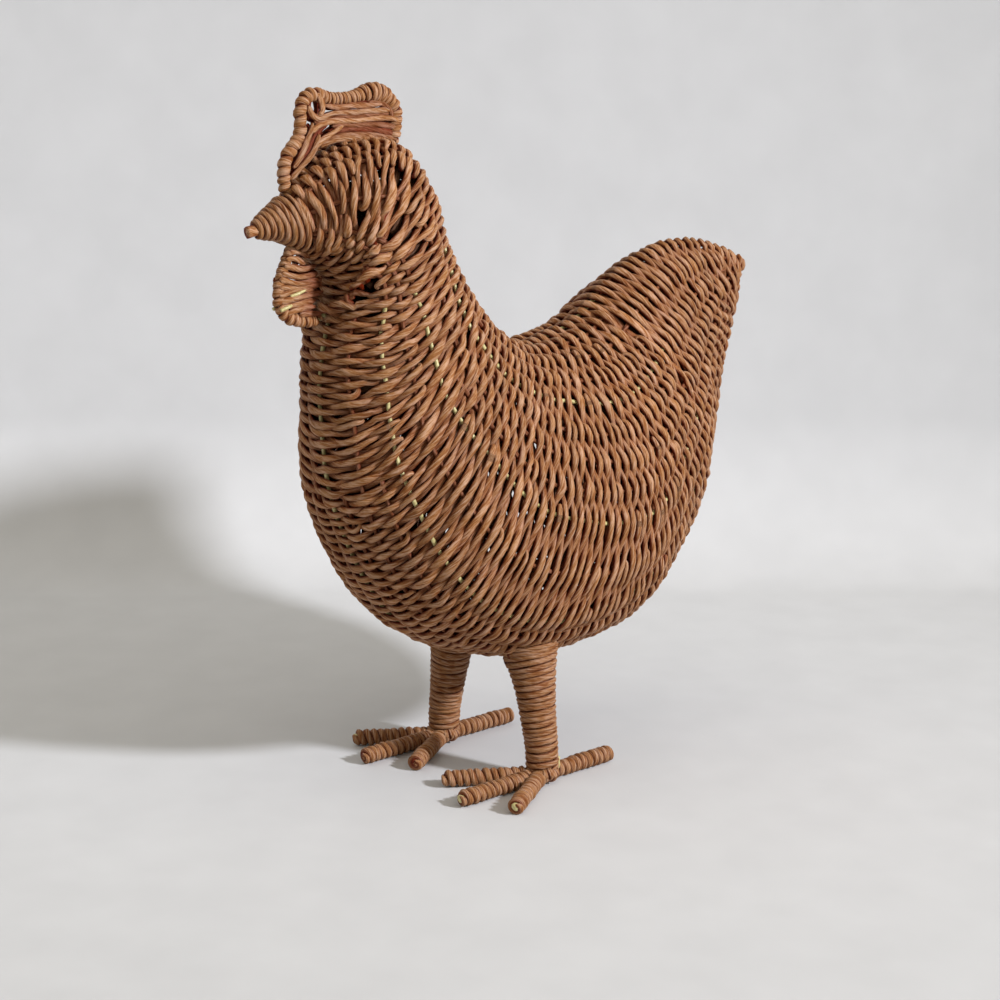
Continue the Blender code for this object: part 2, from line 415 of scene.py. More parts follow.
def smooth_line(points: list[tuple[float, ...]] | np.ndarray, steps: int) -> np.ndarray:
    """Smooth line through points, with both ends kept.

    Args:
        points: The points it passes.
        steps: Pieces between two of them.

    Returns:
        The line's points.
    """
    given = np.asarray(points, dtype=float)
    places = np.linspace(0.0, len(given) - 1.0, steps * (len(given) - 1) + 1)
    return spline(given, places)


def taper(count: int, start: float, steps: float) -> np.ndarray:
    """Share of a rope's full size at each point, thin at both of its ends.

    Args:
        count: Number of points.
        start: Share at the very ends.
        steps: Points over which it grows to full size.

    Returns:
        One share for each point.
    """
    from_end = np.minimum(np.arange(count), np.arange(count)[::-1])
    return np.minimum(1.0, start + (1.0 - start) * from_end / steps)


@dataclass
class RopeBundle:
    """Lengths of rope or wire, gathered into one mesh.

    Each point of the mesh keeps where it lies on its own rope: across it in
    real size, twisted as the rope is, and along it.
    """

    sides: int = 8
    twist_mm: float = 44.0  # length of one turn of the paper's twist
    side_shade_power: float = 1.6  # how steeply the painted shade darkens towards a rope's sides
    lobe: float = 0.09  # how far the twisted folds stand out, as a share of the size
    rings: list[np.ndarray] = field(default_factory=list)
    strands: list[np.ndarray] = field(default_factory=list)
    tones: list[np.ndarray] = field(default_factory=list)
    hollows: list[np.ndarray] = field(default_factory=list)
    faces: list[np.ndarray] = field(default_factory=list)
    caps: list[list[int]] = field(default_factory=list)
    count: int = 0

    def add(
        self,
        centre: np.ndarray,
        outward: np.ndarray,
        half_width: np.ndarray | float,
        half_height: np.ndarray | float,
        tone: float,
        start: float,
        closed: bool = False,
        depth: np.ndarray | float = 0.0,
    ) -> None:
        """Adds one length of rope.

        Args:
            centre: Points along its middle.
            outward: Direction away from what it lies on, at each point.
            half_width: Half its size across that direction.
            half_height: Half its size along that direction.
            tone: Brightness of its dye, about 1.
            start: Where its pattern starts, in metres.
            closed: Whether it runs into its own start.
            depth: How much painted shade it gets from lying deep among its neighbours, from 0 to 1.
        """
        number = len(centre)
        half_width = np.broadcast_to(np.asarray(half_width, dtype=float), (number,))
        half_height = np.broadcast_to(np.asarray(half_height, dtype=float), (number,))
        if closed:
            ahead = np.roll(centre, -1, axis=0) - np.roll(centre, 1, axis=0)
        else:
            ahead = np.gradient(centre, axis=0)
        ahead = unit(ahead)
        side = unit(np.cross(ahead, outward))
        rise = np.cross(side, ahead)
        angles = 2.0 * math.pi * np.arange(self.sides) / self.sides
        cos, sin = np.cos(angles), np.sin(angles)
        length = np.concatenate([[0.0], np.cumsum(np.linalg.norm(np.diff(centre, axis=0), axis=1))])
        turned = angles[None] + (2.0 * math.pi / (self.twist_mm * MM)) * length[:, None] + start * 900.0
        lobes = 1.0 + self.lobe * np.cos(2.0 * turned + start * 7.0) + 0.7 * self.lobe * np.cos(3.0 * turned)
        ring = (
            centre[:, None]
            + side[:, None] * (half_width[:, None] * cos * lobes)[..., None]
            + rise[:, None] * (half_height[:, None] * sin * lobes)[..., None]
        )
        radius = 0.5 * (half_width + half_height)[:, None]
        along = np.broadcast_to(start + length[:, None], turned.shape)
        strand = np.stack([radius * np.cos(turned), radius * np.sin(turned), along], -1)
        rows = np.arange(number if closed else number - 1)
        after = (rows + 1) % number
        around = np.arange(self.sides)
        ahead_side = (around + 1) % self.sides
        quads = np.stack(
            [
                rows[:, None] * self.sides + around,
                rows[:, None] * self.sides + ahead_side,
                after[:, None] * self.sides + ahead_side,
                after[:, None] * self.sides + around,
            ],
            -1,
        ).reshape(-1, 4)
        self.faces.append(quads + self.count)
        if not closed:
            last = self.count + (number - 1) * self.sides
            self.caps.append([self.count + i for i in range(self.sides - 1, -1, -1)])
            self.caps.append([last + i for i in range(self.sides)])
        self.rings.append(ring.reshape(-1, 3))
        self.strands.append(strand.reshape(-1, 3))
        self.tones.append(np.full(number * self.sides, tone))
        # Painted shade on the rope's sides and where it lies deep, kept in the hollow attribute.
        beside = np.clip((0.8 - sin) / 0.85, 0.0, 1.0) ** self.side_shade_power
        depth = np.broadcast_to(np.asarray(depth, dtype=float), (number,))
        self.hollows.append((1.0 - (1.0 - beside)[None] * (1.0 - depth)[:, None]).ravel())
        self.count += number * self.sides

    def build(self, name: str, material: bpy.types.Material, node: str) -> bpy.types.Object:
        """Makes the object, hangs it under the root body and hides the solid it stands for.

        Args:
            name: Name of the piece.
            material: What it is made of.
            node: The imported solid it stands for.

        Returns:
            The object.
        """
        points = np.concatenate(self.rings)
        quads = np.concatenate(self.faces)[:, ::-1]
        mesh = bpy.data.meshes.new(name)
        mesh.vertices.add(len(points))
        mesh.vertices.foreach_set("co", points.ravel())
        cap_points = np.array([i for cap in self.caps for i in cap[::-1]], dtype=int)
        corners = np.concatenate([quads.ravel(), cap_points])
        mesh.loops.add(len(corners))
        mesh.loops.foreach_set("vertex_index", corners)
        sizes = np.concatenate([np.full(len(quads), 4), np.array([len(cap) for cap in self.caps], dtype=int)])
        mesh.polygons.add(len(sizes))
        mesh.polygons.foreach_set("loop_start", np.concatenate([[0], np.cumsum(sizes)[:-1]]))
        mesh.polygons.foreach_set("use_smooth", np.ones(len(sizes), dtype=bool))
        strand = mesh.attributes.new("strand", "FLOAT_VECTOR", "POINT")
        strand.data.foreach_set("vector", np.concatenate(self.strands).ravel())
        for attribute, values in (("tone", self.tones), ("hollow", self.hollows)):
            mesh.attributes.new(attribute, "FLOAT", "POINT").data.foreach_set("value", np.concatenate(values))
        mesh.update(calc_edges=True)
        mesh.validate()
        mesh.materials.append(material)
        made = bpy.data.objects.new(name, mesh)
        bpy.context.scene.collection.objects.link(made)
        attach(made, "root")
        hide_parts(node)
        log.info("%s: %d points, %d faces", name, len(points), len(sizes))
        return made


# Body sections from the face to the tip of the tail, in millimetres: place of
# the top or back edge (y, z), place of the throat or belly edge (y, z), half
# width, how pointed the section is at those two edges, and how its sides sag.
BODY_STATIONS = (
    (-156, 329, -144, 297, 14.5, 1.0, 1.0, 0.00),
    (-139, 344, -133, 285, 27.5, 1.0, 1.0, 0.00),
    (-117, 353, -130, 273, 35.0, 1.0, 1.0, 0.00),
    (-90, 352, -133, 263, 38.5, 1.0, 1.0, 0.00),
    (-70, 329, -136, 253, 40.0, 1.0, 1.0, 0.00),
    (-62, 306, -138, 240, 40.5, 1.0, 1.0, 0.00),
    (-51, 283, -139, 225, 44.0, 1.0, 1.0, 0.00),
    (-38, 263, -138, 205, 50.0, 1.0, 1.0, 0.00),
    (-19, 246, -136, 180, 57.5, 1.0, 1.0, 0.10),
    (-6, 240, -128, 153, 64.5, 1.0, 1.0, 0.15),
    (3, 239, -112, 121, 69.0, 1.0, 1.0, 0.20),
    (12, 241, -83, 87, 72.0, 1.0, 1.0, 0.20),
    (20, 243, -36, 68, 73.0, 1.0, 1.0, 0.20),
    (32, 246, 15, 63, 70.0, 1.0, 1.0, 0.15),
    (45, 254, 65, 71, 62.0, 1.0, 1.0, 0.10),
    (60, 266, 103, 92, 50.0, 1.0, 1.1, 0.00),
    (80, 277, 131, 120, 37.5, 1.0, 1.2, 0.00),
    (106, 285, 147, 155, 23.0, 1.1, 1.3, 0.00),
    (133, 285, 156.5, 195, 13.5, 1.2, 1.3, 0.00),
    (157, 279.5, 168, 235, 8.5, 1.2, 1.2, 0.00),
    (177.5, 272, 176, 263, 4.6, 1.0, 1.0, 0.00),
)

BEAK_STATIONS = (
    (-156, 328.5, -144.5, 297.5, 14.0, 1.0, 1.0, 0.0),
    (-159.5, 325.5, -150, 300, 12.6, 1.0, 1.0, 0.0),
    (-164, 322.5, -156.5, 303, 10.2, 1.0, 1.0, 0.0),
    (-168.5, 319.5, -163, 305, 7.6, 1.0, 1.0, 0.0),
    (-173, 316, -169.5, 306, 5.2, 1.0, 1.0, 0.0),
    (-176, 313, -174.5, 306.5, 3.4, 1.0, 1.0, 0.0),
    (-178, 311, -177.7, 308, 1.5, 1.0, 1.0, 0.0),
)

# Middle of the beak's knotted tip (x, y, z), in millimetres.
BEAK_TIP = (
    (-0.6, -165.0, 313.2),
    (0.2, -169.0, 312.0),
    (0.5, -172.6, 310.9),
    (0.2, -176.6, 310.3),
    (0.0, -177.9, 310.1),
)

# How the woven rows lean: station, and the first, second and third wave of
# their drift from the breast and belly edge towards the top edge.
ROW_LEAN = (
    (0.0, 0.0, 0.0, 0.0),
    (1.5, -6.4, 3.1, -1.5),
    (3.0, -8.8, 3.5, -2.2),
    (4.5, -6.2, 2.3, -2.0),
    (6.0, 0.0, 0.8, -1.7),
    (7.5, 6.6, 0.2, -0.3),
    (9.0, 10.7, 2.4, 0.9),
    (10.5, 8.0, 4.1, 2.6),
    (12.0, 4.2, 3.8, 3.2),
    (14.0, 4.9, 3.6, 2.2),
    (16.0, 6.0, 2.8, 0.8),
    (18.0, 3.7, 1.1, 0.0),
    (20.0, 0.0, 0.0, 0.0),
)

# Station, and there the places of the fourth, eighth and tenth ribs on the way
# round from the top edge to the breast and belly edge.
RIB_PATHS = (
    (0.0, 0.090, 0.280, 0.345),
    (2.0, 0.080, 0.270, 0.330),
    (4.0, 0.105, 0.243, 0.357),
    (6.0, 0.140, 0.257, 0.359),
    (8.0, 0.153, 0.270, 0.373),
    (10.0, 0.143, 0.257, 0.376),
    (12.0, 0.118, 0.250, 0.368),
    (14.0, 0.125, 0.268, 0.362),
    (20.0, 0.135, 0.262, 0.362),
)


@dataclass
class SectionForm:
    """Smooth closed form through sections, read by place along it and round it.

    The place along it is a station number. The place round it runs from 0 at
    the top edge over the hen's left side back to 1, in equal lengths.
    """

    stations: Table
    inset_mm: float = 0.0  # how far inside the drawn form this one lies
    steps_per_station: int = 20
    columns: int = 280

    def __post_init__(self) -> None:
        """Lays out the form's points and outward directions."""
        last = len(self.stations) - 1
        self.places = np.linspace(0.0, last, last * self.steps_per_station + 1)
        values = spline(np.array(self.stations), self.places)
        top, low = values[:, 0:2].copy(), values[:, 2:4].copy()
        middle = 0.5 * (top + low)
        for edge in (top, low):
            run = unit(np.gradient(edge, axis=0))
            normal = np.stack([-run[:, 1], run[:, 0]], -1)
            normal *= np.sign(((edge - middle) * normal).sum(1))[:, None]
            edge -= normal * self.inset_mm
        half = np.maximum(values[:, 4] - self.inset_mm, 0.42 * values[:, 4])
        turn = np.linspace(0.0, 2.0 * math.pi, 721)
        rise, side = np.cos(turn)[None], np.sin(turn)[None]
        share = 0.5 + 0.5 * rise
        power = values[:, 6:7] + (values[:, 5:6] - values[:, 6:7]) * share
        along = rise - values[:, 7:8] * side**2
        across = np.sign(side) * np.abs(side) ** power
        centre, reach = 0.5 * (top + low), 0.5 * (top - low)
        rings = np.stack(
            [
                half[:, None] * across,
                centre[:, 0:1] + reach[:, 0:1] * along,
                centre[:, 1:2] + reach[:, 1:2] * along,
            ],
            -1,
        )
        rings *= MM
        lengths = np.linalg.norm(np.diff(rings, axis=1), axis=-1)
        summed = np.concatenate([np.zeros((len(rings), 1)), np.cumsum(lengths, axis=1)], axis=1)
        self.girth = summed[:, -1]
        shares = np.arange(self.columns) / self.columns
        self.points = np.empty((len(rings), self.columns, 3))
        for i, ring in enumerate(rings):
            where = summed[i] / self.girth[i]
            for axis in range(3):
                self.points[i, :, axis] = np.interp(shares, where, ring[:, axis])
        self.settle()

    def settle(self) -> None:
        """Works out the outward directions, the rows' spread and their length."""
        forward = np.gradient(self.points, self.places, axis=0)
        round_it = (np.roll(self.points, -1, axis=1) - np.roll(self.points, 1, axis=1)) * (self.columns / 2.0)
        normal = unit(np.cross(round_it, forward))
        if (normal * (self.points - self.points.mean(axis=1, keepdims=True))).sum(-1).mean() < 0.0:
            normal = -normal
        self.normals = normal
        self.spacing = np.linalg.norm(np.cross(forward, unit(round_it)), axis=-1)
        self.girth = np.linalg.norm(round_it, axis=-1).mean(axis=1)

    def lean(self, table: Table) -> None:
        """Lays the form out anew, so that its rows lean as the woven rows do.

        Each row keeps its station number at the breast and belly edge, and
        drifts from there to other station numbers on its way to the top edge.

        Args:
            table: Station number, and the drift's first, second and third wave
                round the form, in stations for each whole way round.
        """
        known = np.array(table)
        half = self.columns // 2
        station = self.places.copy()
        laid = np.empty((len(self.places), self.columns))
        laid[:, half] = station
        step = 1.0 / self.columns

        def drift(at: np.ndarray, share: float) -> np.ndarray:
            """Stations that a row gains for each whole way round, at one share."""
            return sum(
                np.interp(at, known[:, 0], known[:, 1 + i]) * math.sin(2.0 * math.pi * (i + 1) * share)
                for i in range(3)
            )

        for column in range(half, 0, -1):
            share = column * step
            middle = station - 0.5 * step * drift(station, share)
            station = np.clip(station - step * drift(middle, share - 0.5 * step), 0.0, self.places[-1])
            laid[:, column - 1] = station
            laid[:, (self.columns - column + 1) % self.columns] = station
        shares = np.broadcast_to(np.arange(self.columns) / self.columns, laid.shape)
        self.points = self.read(self.points, laid, shares)
        self.settle()

    def read(self, grid: np.ndarray, place: np.ndarray, share: np.ndarray) -> np.ndarray:
        """Reads a grid of values at places on the form.

        Args:
            grid: Values by step along and column round the form.
            place: Station numbers.
            share: Shares of the way round; any number, taken round and round.

        Returns:
            One value, or vector, for each place.
        """
        row = np.clip(np.asarray(place, dtype=float), 0.0, self.places[-1]) * self.steps_per_station
        low = np.minimum(row.astype(int), len(self.places) - 2)
        column = (np.asarray(share, dtype=float) % 1.0) * self.columns
        left = column.astype(int) % self.columns
        down, across = (row - low)[..., None], (column - column.astype(int))[..., None]
        right = (left + 1) % self.columns
        values = grid if grid.ndim == 3 else grid[..., None]
        found = (
            (1 - down) * ((1 - across) * values[low, left] + across * values[low, right])
            + down * ((1 - across) * values[low + 1, left] + across * values[low + 1, right])
        )
        return found if grid.ndim == 3 else found[..., 0]

    def at(self, place: np.ndarray, share: np.ndarray, lift: np.ndarray | float = 0.0) -> np.ndarray:
        """Points on the form, lifted off it.

        Args:
            place: Station numbers.
            share: Shares of the way round.
            lift: Distance off the form, in metres.

        Returns:
            The points.
        """
        lift = np.asarray(lift, dtype=float)
        return self.read(self.points, place, share) + self.out(place, share) * lift[..., None]

    def out(self, place: np.ndarray, share: np.ndarray) -> np.ndarray:
        """Outward directions on the form.

        Args:
            place: Station numbers.
            share: Shares of the way round.

        Returns:
            Vectors of length one.
        """
        return unit(self.read(self.normals, place, share))

    def girth_at(self, place: np.ndarray) -> np.ndarray:
        """Length of the way round the form, in metres, at station numbers."""
        return np.interp(place, self.places, self.girth)


class WireCoat(Enum):
    """What covers a wire of the frame."""

    YELLOW = "yellow"
    PAPER = "paper"


@dataclass
class WovenBody:
    """The basket: rope woven over and under the ribs of a wire frame.

    Rows of rope run round the form. A rope goes over one rib and under the
    next, and its neighbour does the opposite. Where the form is longer on one
    side, pairs of rows turn back round a rib, as a weaver's short rows do.
    """

    pitch_mm: float = 2.85  # from one row to the next
    ribs: int = 28  # round the widest part
    long_ribs: tuple[int, ...] = (0, 2, 4, 6, 8, 9, 10, 12, 14, 16, 18, 19, 20, 22, 24, 26)  # run full length
    slim_ribs: tuple[int, ...] = (0, 2, 6, 10, 14, 18, 22, 26)  # that slimmer rows are woven on
    tip_ribs: tuple[int, ...] = (0, 7, 14, 21)  # and the slimmest ones
    rib_radius_mm: float = 1.1
    rib_wander: float = 0.055  # how far a rib sways from its path, as a share of the way to the next
    lift_mm: float = 2.1  # middle of a rope off the middle of a rib
    rope_width_mm: float = 4.0  # of a rope pressed flat over a rib
    rope_height_mm: float = 2.85
    sample_mm: float = 2.3
    head_widen: float = 1.10  # ropes on the head are thicker
    turn_reach_mm: float = 4.8  # how far a short row goes past its last rib to turn
    borders: tuple[float, ...] = (6.4, 11.2, 14.4)  # stations where one woven piece ends and the next starts
    uneven: float = 0.11  # spread of the rope's thickness along itself
    stray_mm: float = 0.34  # how far a rope strays from its row
    bounce_mm: float = 0.22  # and how far in or out
    row_stray_m: float = 0.00020  # how far a row strays on each rib
    breast_rib: int = 14  # rib on the breast and belly edge
    full_girth_m: float = 0.364  # rows longer than this are woven on every rib
    half_girth_m: float = 0.120  # and than this on the long ribs
    quarter_girth_m: float = 0.062  # and than this on the slim ones
    short_rib_girth_m: float = 0.352  # where the short ribs start and stop
    evening_passes: int = 260  # passes that even out the gaps between rows
    even_pull: float = 0.55  # share of the way that a pass moves a row to the middle of its gap
    level_pull: float = 0.24  # and to the height of the row on the ribs beside
    yellow_ribs: tuple[int, ...] = (0, 4, 8, 10, 14, 18, 20, 24)
    bare_from: float = 2.7  # station where the yellow ribs come out of their paper
    bare_to: float = 16.6
    lining_head_mm: float = 4.2  # from one turn of the lining to the next
    lining_body_mm: float = 6.2
    lining_depth_mm: float = 4.4  # middle of the lining under the middle of a rib
    lining_cover_mm: float = 1.8  # least depth, so that it never shows outside
    lining_rope_mm: tuple[float, float] = (3.8, 2.4)  # width and height of its rope
    lining_samples: int = 72  # points on each turn
    # Painted shade: the lining is made dark for the shade inside the basket.
    lining_shade_tone: float = 0.34
    seed: int = 11

    def __post_init__(self) -> None:
        """Prepares the form and the row plan."""
        self.random = np.random.default_rng(self.seed)
        self.form = SectionForm(BODY_STATIONS, inset_mm=3.5)
        self.form.lean(ROW_LEAN)
        known = np.array(RIB_PATHS)
        paths = np.stack([np.interp(self.form.places, known[:, 0], known[:, 1 + i]) for i in range(3)])
        zero, front = np.zeros_like(paths[0]), np.full_like(paths[0], 0.5)
        columns = np.stack([zero, paths[0], paths[1], paths[2], 0.5 * (paths[2] + front), front])
        half = self.ribs // 2
        given = (0, 4, 8, 10, 12, half)  # ribs whose paths the columns hold
        near = np.stack([np.interp(np.arange(half + 1), given, column) for column in columns.T])
        self.shares = np.concatenate([near, 1.0 - near[:, half - 1 : 0 : -1]], axis=1)
        self.plan_rows()

    def choose_ribs(self, centre: np.ndarray, rate: np.ndarray) -> np.ndarray:
        """Chooses the ribs that each pair of rows is woven on.

        A pair leaves out the ribs where the form is so much shorter than on
        its longest side that the rows would crowd.

        Args:
            centre: Station number of each pair's middle.
            rate: Metres for each station, by step along and rib.

        Returns:
            True where a pair of rows crosses a rib.
        """
        form = self.form
        kept = np.zeros((len(centre), self.ribs), dtype=bool)
        for pair in range(len(centre)):
            here = np.array([np.interp(centre[pair], form.places, rate[:, rib]) for rib in range(self.ribs)])
            need = (pair * GOLDEN + 0.13) % 1.0
            want = here / here.max() + self.random.normal(0.0, 0.03, self.ribs) > need
            widest = 0.985 * here.max()
            peak = self.breast_rib if here[self.breast_rib] > widest else int(here.argmax())
            if here[0] > widest and here[self.breast_rib] <= widest:
                peak = 0
            kept[pair, peak] = True
            for way in (1, -1):
                rib = peak
                for _ in range(self.ribs - 1):
                    rib = (rib + way) % self.ribs
                    if not want[rib]:
                        break
                    kept[pair, rib] = True
            if (~kept[pair]).sum() <= 2:
                kept[pair] = True
        # The pairs at both ends go all the way round.
        kept[:2] = True
        kept[-4:] = True
        return kept

    def even_out(self, place: np.ndarray, run: np.ndarray) -> np.ndarray:
        """Moves the rows until their gaps are even along each rib and each row lies level.

        Args:
            place: Station number of each row on each rib.
            run: Metres from the face, by step along and rib.

        Returns:
            The station numbers after the moves.
        """
        form, rows = self.form, self.rows
        index = [np.nonzero(rows[:, rib])[0] for rib in range(self.ribs)]
        for _ in range(self.evening_passes):
            before = np.where(np.roll(rows, 1, axis=1), np.roll(place, 1, axis=1), np.nan)
            after = np.where(np.roll(rows, -1, axis=1), np.roll(place, -1, axis=1), np.nan)
            either = [np.where(np.isnan(before), after, before), np.where(np.isnan(after), before, after)]
            beside = np.nanmean(np.stack(either), axis=0)
            beside = np.where(np.isnan(beside), place, beside)
            moved = place.copy()
            for rib in range(self.ribs):
                mine = index[rib]
                s = np.interp(place[mine, rib], form.places, run[:, rib])
                end = run[-1, rib]
                padded = np.concatenate([[-s[0]], s, [2.0 * end - s[-1]]])
                even = 0.5 * (padded[:-2] + padded[2:])
                level = np.interp(beside[mine, rib], form.places, run[:, rib])
                s = s + self.even_pull * (even - s) + self.level_pull * (level - s)
                moved[mine, rib] = np.interp(s, run[:, rib], form.places)
            place = moved
        return place

    def plan_rows(self) -> None:
        """Places every row on every rib, evenly spaced, with the short rows in pairs."""
        form = self.form
        rate = np.take_along_axis(form.spacing, np.round(self.shares * form.columns).astype(int), axis=1)
        gaps = np.diff(form.places)[:, None]
        steps = np.cumsum(0.5 * (rate[1:] + rate[:-1]) * gaps, axis=0)
        run = np.concatenate([np.zeros((1, self.ribs)), steps])
        most = rate.max(axis=1)
        longest = np.concatenate([[0.0], np.cumsum(0.5 * (most[1:] + most[:-1]) * gaps[:, 0])])
        pairs_run = longest / (2.0 * self.pitch_mm * MM)
        centre = np.interp(np.arange(int(pairs_run[-1])) + 0.5, pairs_run, form.places)
        kept = self.choose_ribs(centre, rate)
        enough = kept.sum(axis=1) >= 3
        self.kept, self.centre = kept[enough], centre[enough]
        self.pairs = len(self.kept)
        self.rows = np.repeat(self.kept, 2, axis=0)
        number = np.interp(self.centre, form.places, pairs_run)
        first = np.interp(number - 0.25, pairs_run, form.places)
        second = np.interp(number + 0.25, pairs_run, form.places)
        place = np.repeat(np.stack([first, second], 1).reshape(-1)[:, None], self.ribs, axis=1)
        place = self.even_out(place, run)
        self.gap = np.full(place.shape, self.pitch_mm * MM)
        for rib in range(self.ribs):
            mine = np.nonzero(self.rows[:, rib])[0]
            s = np.interp(place[mine, rib], form.places, run[:, rib])
            s = s + self.random.normal(0.0, self.row_stray_m, len(s))
            place[mine, rib] = np.interp(s, run[:, rib], form.places)
            self.gap[mine, rib] = np.gradient(s)
        self.place = place
        self.slack = self.random.normal(0.0, 0.09, place.shape)
        self.phase = self.random.uniform(0.0, 6.28, self.ribs)

    def share_of(self, rib: np.ndarray, place: np.ndarray) -> np.ndarray:
        """Share of the way round of a rib that wanders a little, at station numbers."""
        low = np.floor(rib + 1e-9).astype(int)
        part = rib - low
        swing = self.rib_wander / self.ribs
        wander = [swing * np.sin(1.15 * place + self.phase[(low + i) % self.ribs]) for i in (0, 1)]
        step = np.clip(np.round(place * self.form.steps_per_station).astype(int), 0, len(self.shares) - 1)
        ends = [self.shares[step, (low + i) % self.ribs] + (low + i) // self.ribs for i in (0, 1)]
        return (ends[0] + wander[0]) * (1.0 - part) + (ends[1] + wander[1]) * part

    def active(self, girth: float) -> list[int]:
        """Ribs that a row of a given girth is woven on.

        Args:
            girth: Length of the way round, in metres.

        Returns:
            Rib numbers in order round the form.
        """
        if girth > self.full_girth_m:
            return list(range(self.ribs))
        if girth > self.half_girth_m:
            return list(self.long_ribs)
        if girth > self.quarter_girth_m:
            return list(self.slim_ribs)
        return list(self.tip_ribs)

    def rank(self, ribs: list[int], rib: int) -> int:
        """How many ribs lie between this one and the breast, in a row's own ribs."""
        return abs(ribs.index(rib) - ribs.index(self.breast_rib))

    def between(self, row: int, start: int, stop: int, steps: int) -> tuple[np.ndarray, np.ndarray]:
        """Places of a row on the way from one rib to another.

        Args:
            row: The row's number.
            start: Rib it starts from; may be below zero or past the last.
            stop: Rib it goes to.
            steps: Samples on the way, with the start and without the stop.

        Returns:
            Station numbers and shares of the way round.
        """
        t = np.arange(steps) / steps
        rib = start + (stop - start) * t
        low = np.floor(rib + 1e-9).astype(int)
        part = rib - low
        mine, known = self.place[row], self.rows[row]
        beside = row - 1 if row % 2 == 0 else row + 1
        if 0 <= beside < len(self.rows):
            here, there = self.rows[beside][low % self.ribs], self.rows[beside][(low + 1) % self.ribs]
            late, early = part**4.2, 1.0 - (1.0 - part) ** 4.2
            part = np.where(here & ~there, early, np.where(there & ~here, late, part))
        value = []
        for offset in (-1, 0, 1, 2):
            at = (low + offset) % self.ribs
            value.append(np.where(known[at], mine[at], np.nan))
        p0, p1, p2, p3 = value
        p2 = np.where(np.isnan(p2), p1, p2)
        p1 = np.where(np.isnan(p1), p2, p1)
        p0 = np.where(np.isnan(p0), p1, p0)
        p3 = np.where(np.isnan(p3), p2, p3)
        place = 0.5 * (
            2 * p1
            + (p2 - p0) * part
            + (2 * p0 - 5 * p1 + 4 * p2 - p3) * part**2
            + (3 * p1 - p0 - 3 * p2 + p3) * part**3
        )
        return place, self.share_of(rib, place)

    def stretch(self, row: int, ribs: list[int], order: list[int]) -> tuple[np.ndarray, ...]:
        """One row over a list of ribs, going in and out.

        Args:
            row: The row's number.
            ribs: All ribs that the row is woven on.
            order: The ribs to pass, as running numbers.

        Returns:
            Station numbers, shares round, lift from -1 to 1, and gap to the next row.
        """
        places, shares, lifts, gaps = [], [], [], []
        for start, stop in zip(order[:-1], order[1:]):
            girth = float(self.form.girth_at(np.array(self.place[row, start % self.ribs])))
            length = abs(stop - start) / self.ribs * girth
            steps = max(4, int(math.ceil(length / (self.sample_mm * MM))))
            place, share = self.between(row, start, stop, steps)
            side = 1.0 if (self.rank(ribs, start % self.ribs) + row) % 2 == 0 else -1.0
            other = 1.0 if (self.rank(ribs, stop % self.ribs) + row) % 2 == 0 else -1.0
            t = np.arange(steps) / steps
            side += self.slack[row, start % self.ribs]
            other += self.slack[row, stop % self.ribs]
            lift = side + (other - side) * (0.5 - 0.5 * np.cos(math.pi * t))
            gap = self.gap[row, start % self.ribs] * (1 - t) + self.gap[row, stop % self.ribs] * t
            places.append(place)
            shares.append(share)
            lifts.append(lift)
            gaps.append(gap)
        return tuple(np.concatenate(part) for part in (places, shares, lifts, gaps))

    def turn(self, rib: int, row: int, other: int, way: int, ribs: list[int]) -> tuple[np.ndarray, ...]:
        """A pair's turn round its last rib.

        Args:
            rib: The rib, as a running number.
            row: The row that comes in.
            other: The row that goes back.
            way: 1 where the pair ends at a higher share, else -1.
            ribs: All ribs that the pair is woven on.

        Returns:
            Station numbers, shares round, lift from -1 to 1, and gap to the next row.
        """
        here = rib % self.ribs
        side = 1.0 if (self.rank(ribs, here) + row) % 2 == 0 else -1.0
        angles = np.radians(np.linspace(90.0, -90.0, 9))
        girth = float(self.form.girth_at(np.array(self.place[row, here])))
        reach = self.turn_reach_mm * MM / girth
        mix = 0.5 - 0.5 * np.sin(angles)
        place = self.place[row, here] * (1 - mix) + self.place[other, here] * mix
        share = self.share_of(np.full(len(angles), float(rib)), place) + way * reach * np.cos(angles)
        return place, share, side * np.sin(angles), np.full(len(angles), self.gap[row, here])

    def lay(self, bundle: RopeBundle, parts: list[tuple[np.ndarray, ...]], tone: float) -> None:
        """Lays one closed rope along its planned parts.

        Args:
            bundle: Where the rope goes.
            parts: Station numbers, shares, lifts and gaps, in order.
            tone: Brightness of its dye.
        """
        place, share, lift, gap = (np.concatenate(part) for part in zip(*parts))
        girth = self.form.girth_at(place)
        depth = np.minimum(self.lift_mm * MM, 0.0006 + girth * 0.016)
        number = len(place)
        knots = self.random.normal(0.0, 1.0, (3, max(6, number // 4)))
        count = knots.shape[1]
        at = np.linspace(0.0, count, number, endpoint=False)
        swell, sway, lie = (np.interp(at, np.arange(count + 1), np.append(row, row[0])) for row in knots)
        wobble = np.clip(self.random.normal(1.0, 0.05) + self.uneven * swell, 0.86, 1.24)
        run = np.interp(place, self.form.places, self.form.spacing.mean(axis=1))
        place = place + self.stray_mm * MM * sway / np.maximum(run, 0.003)
        centre = self.form.at(place, share, depth * lift + self.bounce_mm * MM * lie)
        outward = self.form.out(place, share)
        pitch = np.clip(gap, 0.66 * self.pitch_mm * MM, 1.34 * self.pitch_mm * MM)
        press = np.minimum(lift**2, 1.0)
        flat = 0.5 * self.rope_width_mm * MM * np.interp(place, (4.0, 6.5), (self.head_widen, 1.0))
        flat = flat * np.clip(gap / (self.pitch_mm * MM), 0.78, 1.2)
        half_width = (0.5 * pitch * 1.07 * (1 - press) + flat * press) * wobble
        half_height = (0.5 * self.rope_height_mm * MM * (1.12 - 0.12 * press)) * (1.0 + 0.5 * (1.0 - wobble))
        # Painted shade on the rope where it passes under a rib.
        under_shade = 0.55 * np.clip(0.45 - 0.55 * lift, 0.0, 1.0)
        start = float(self.random.uniform(0.0, 4.0))
        bundle.add(centre, outward, half_width, half_height, tone, start, closed=True, depth=under_shade)

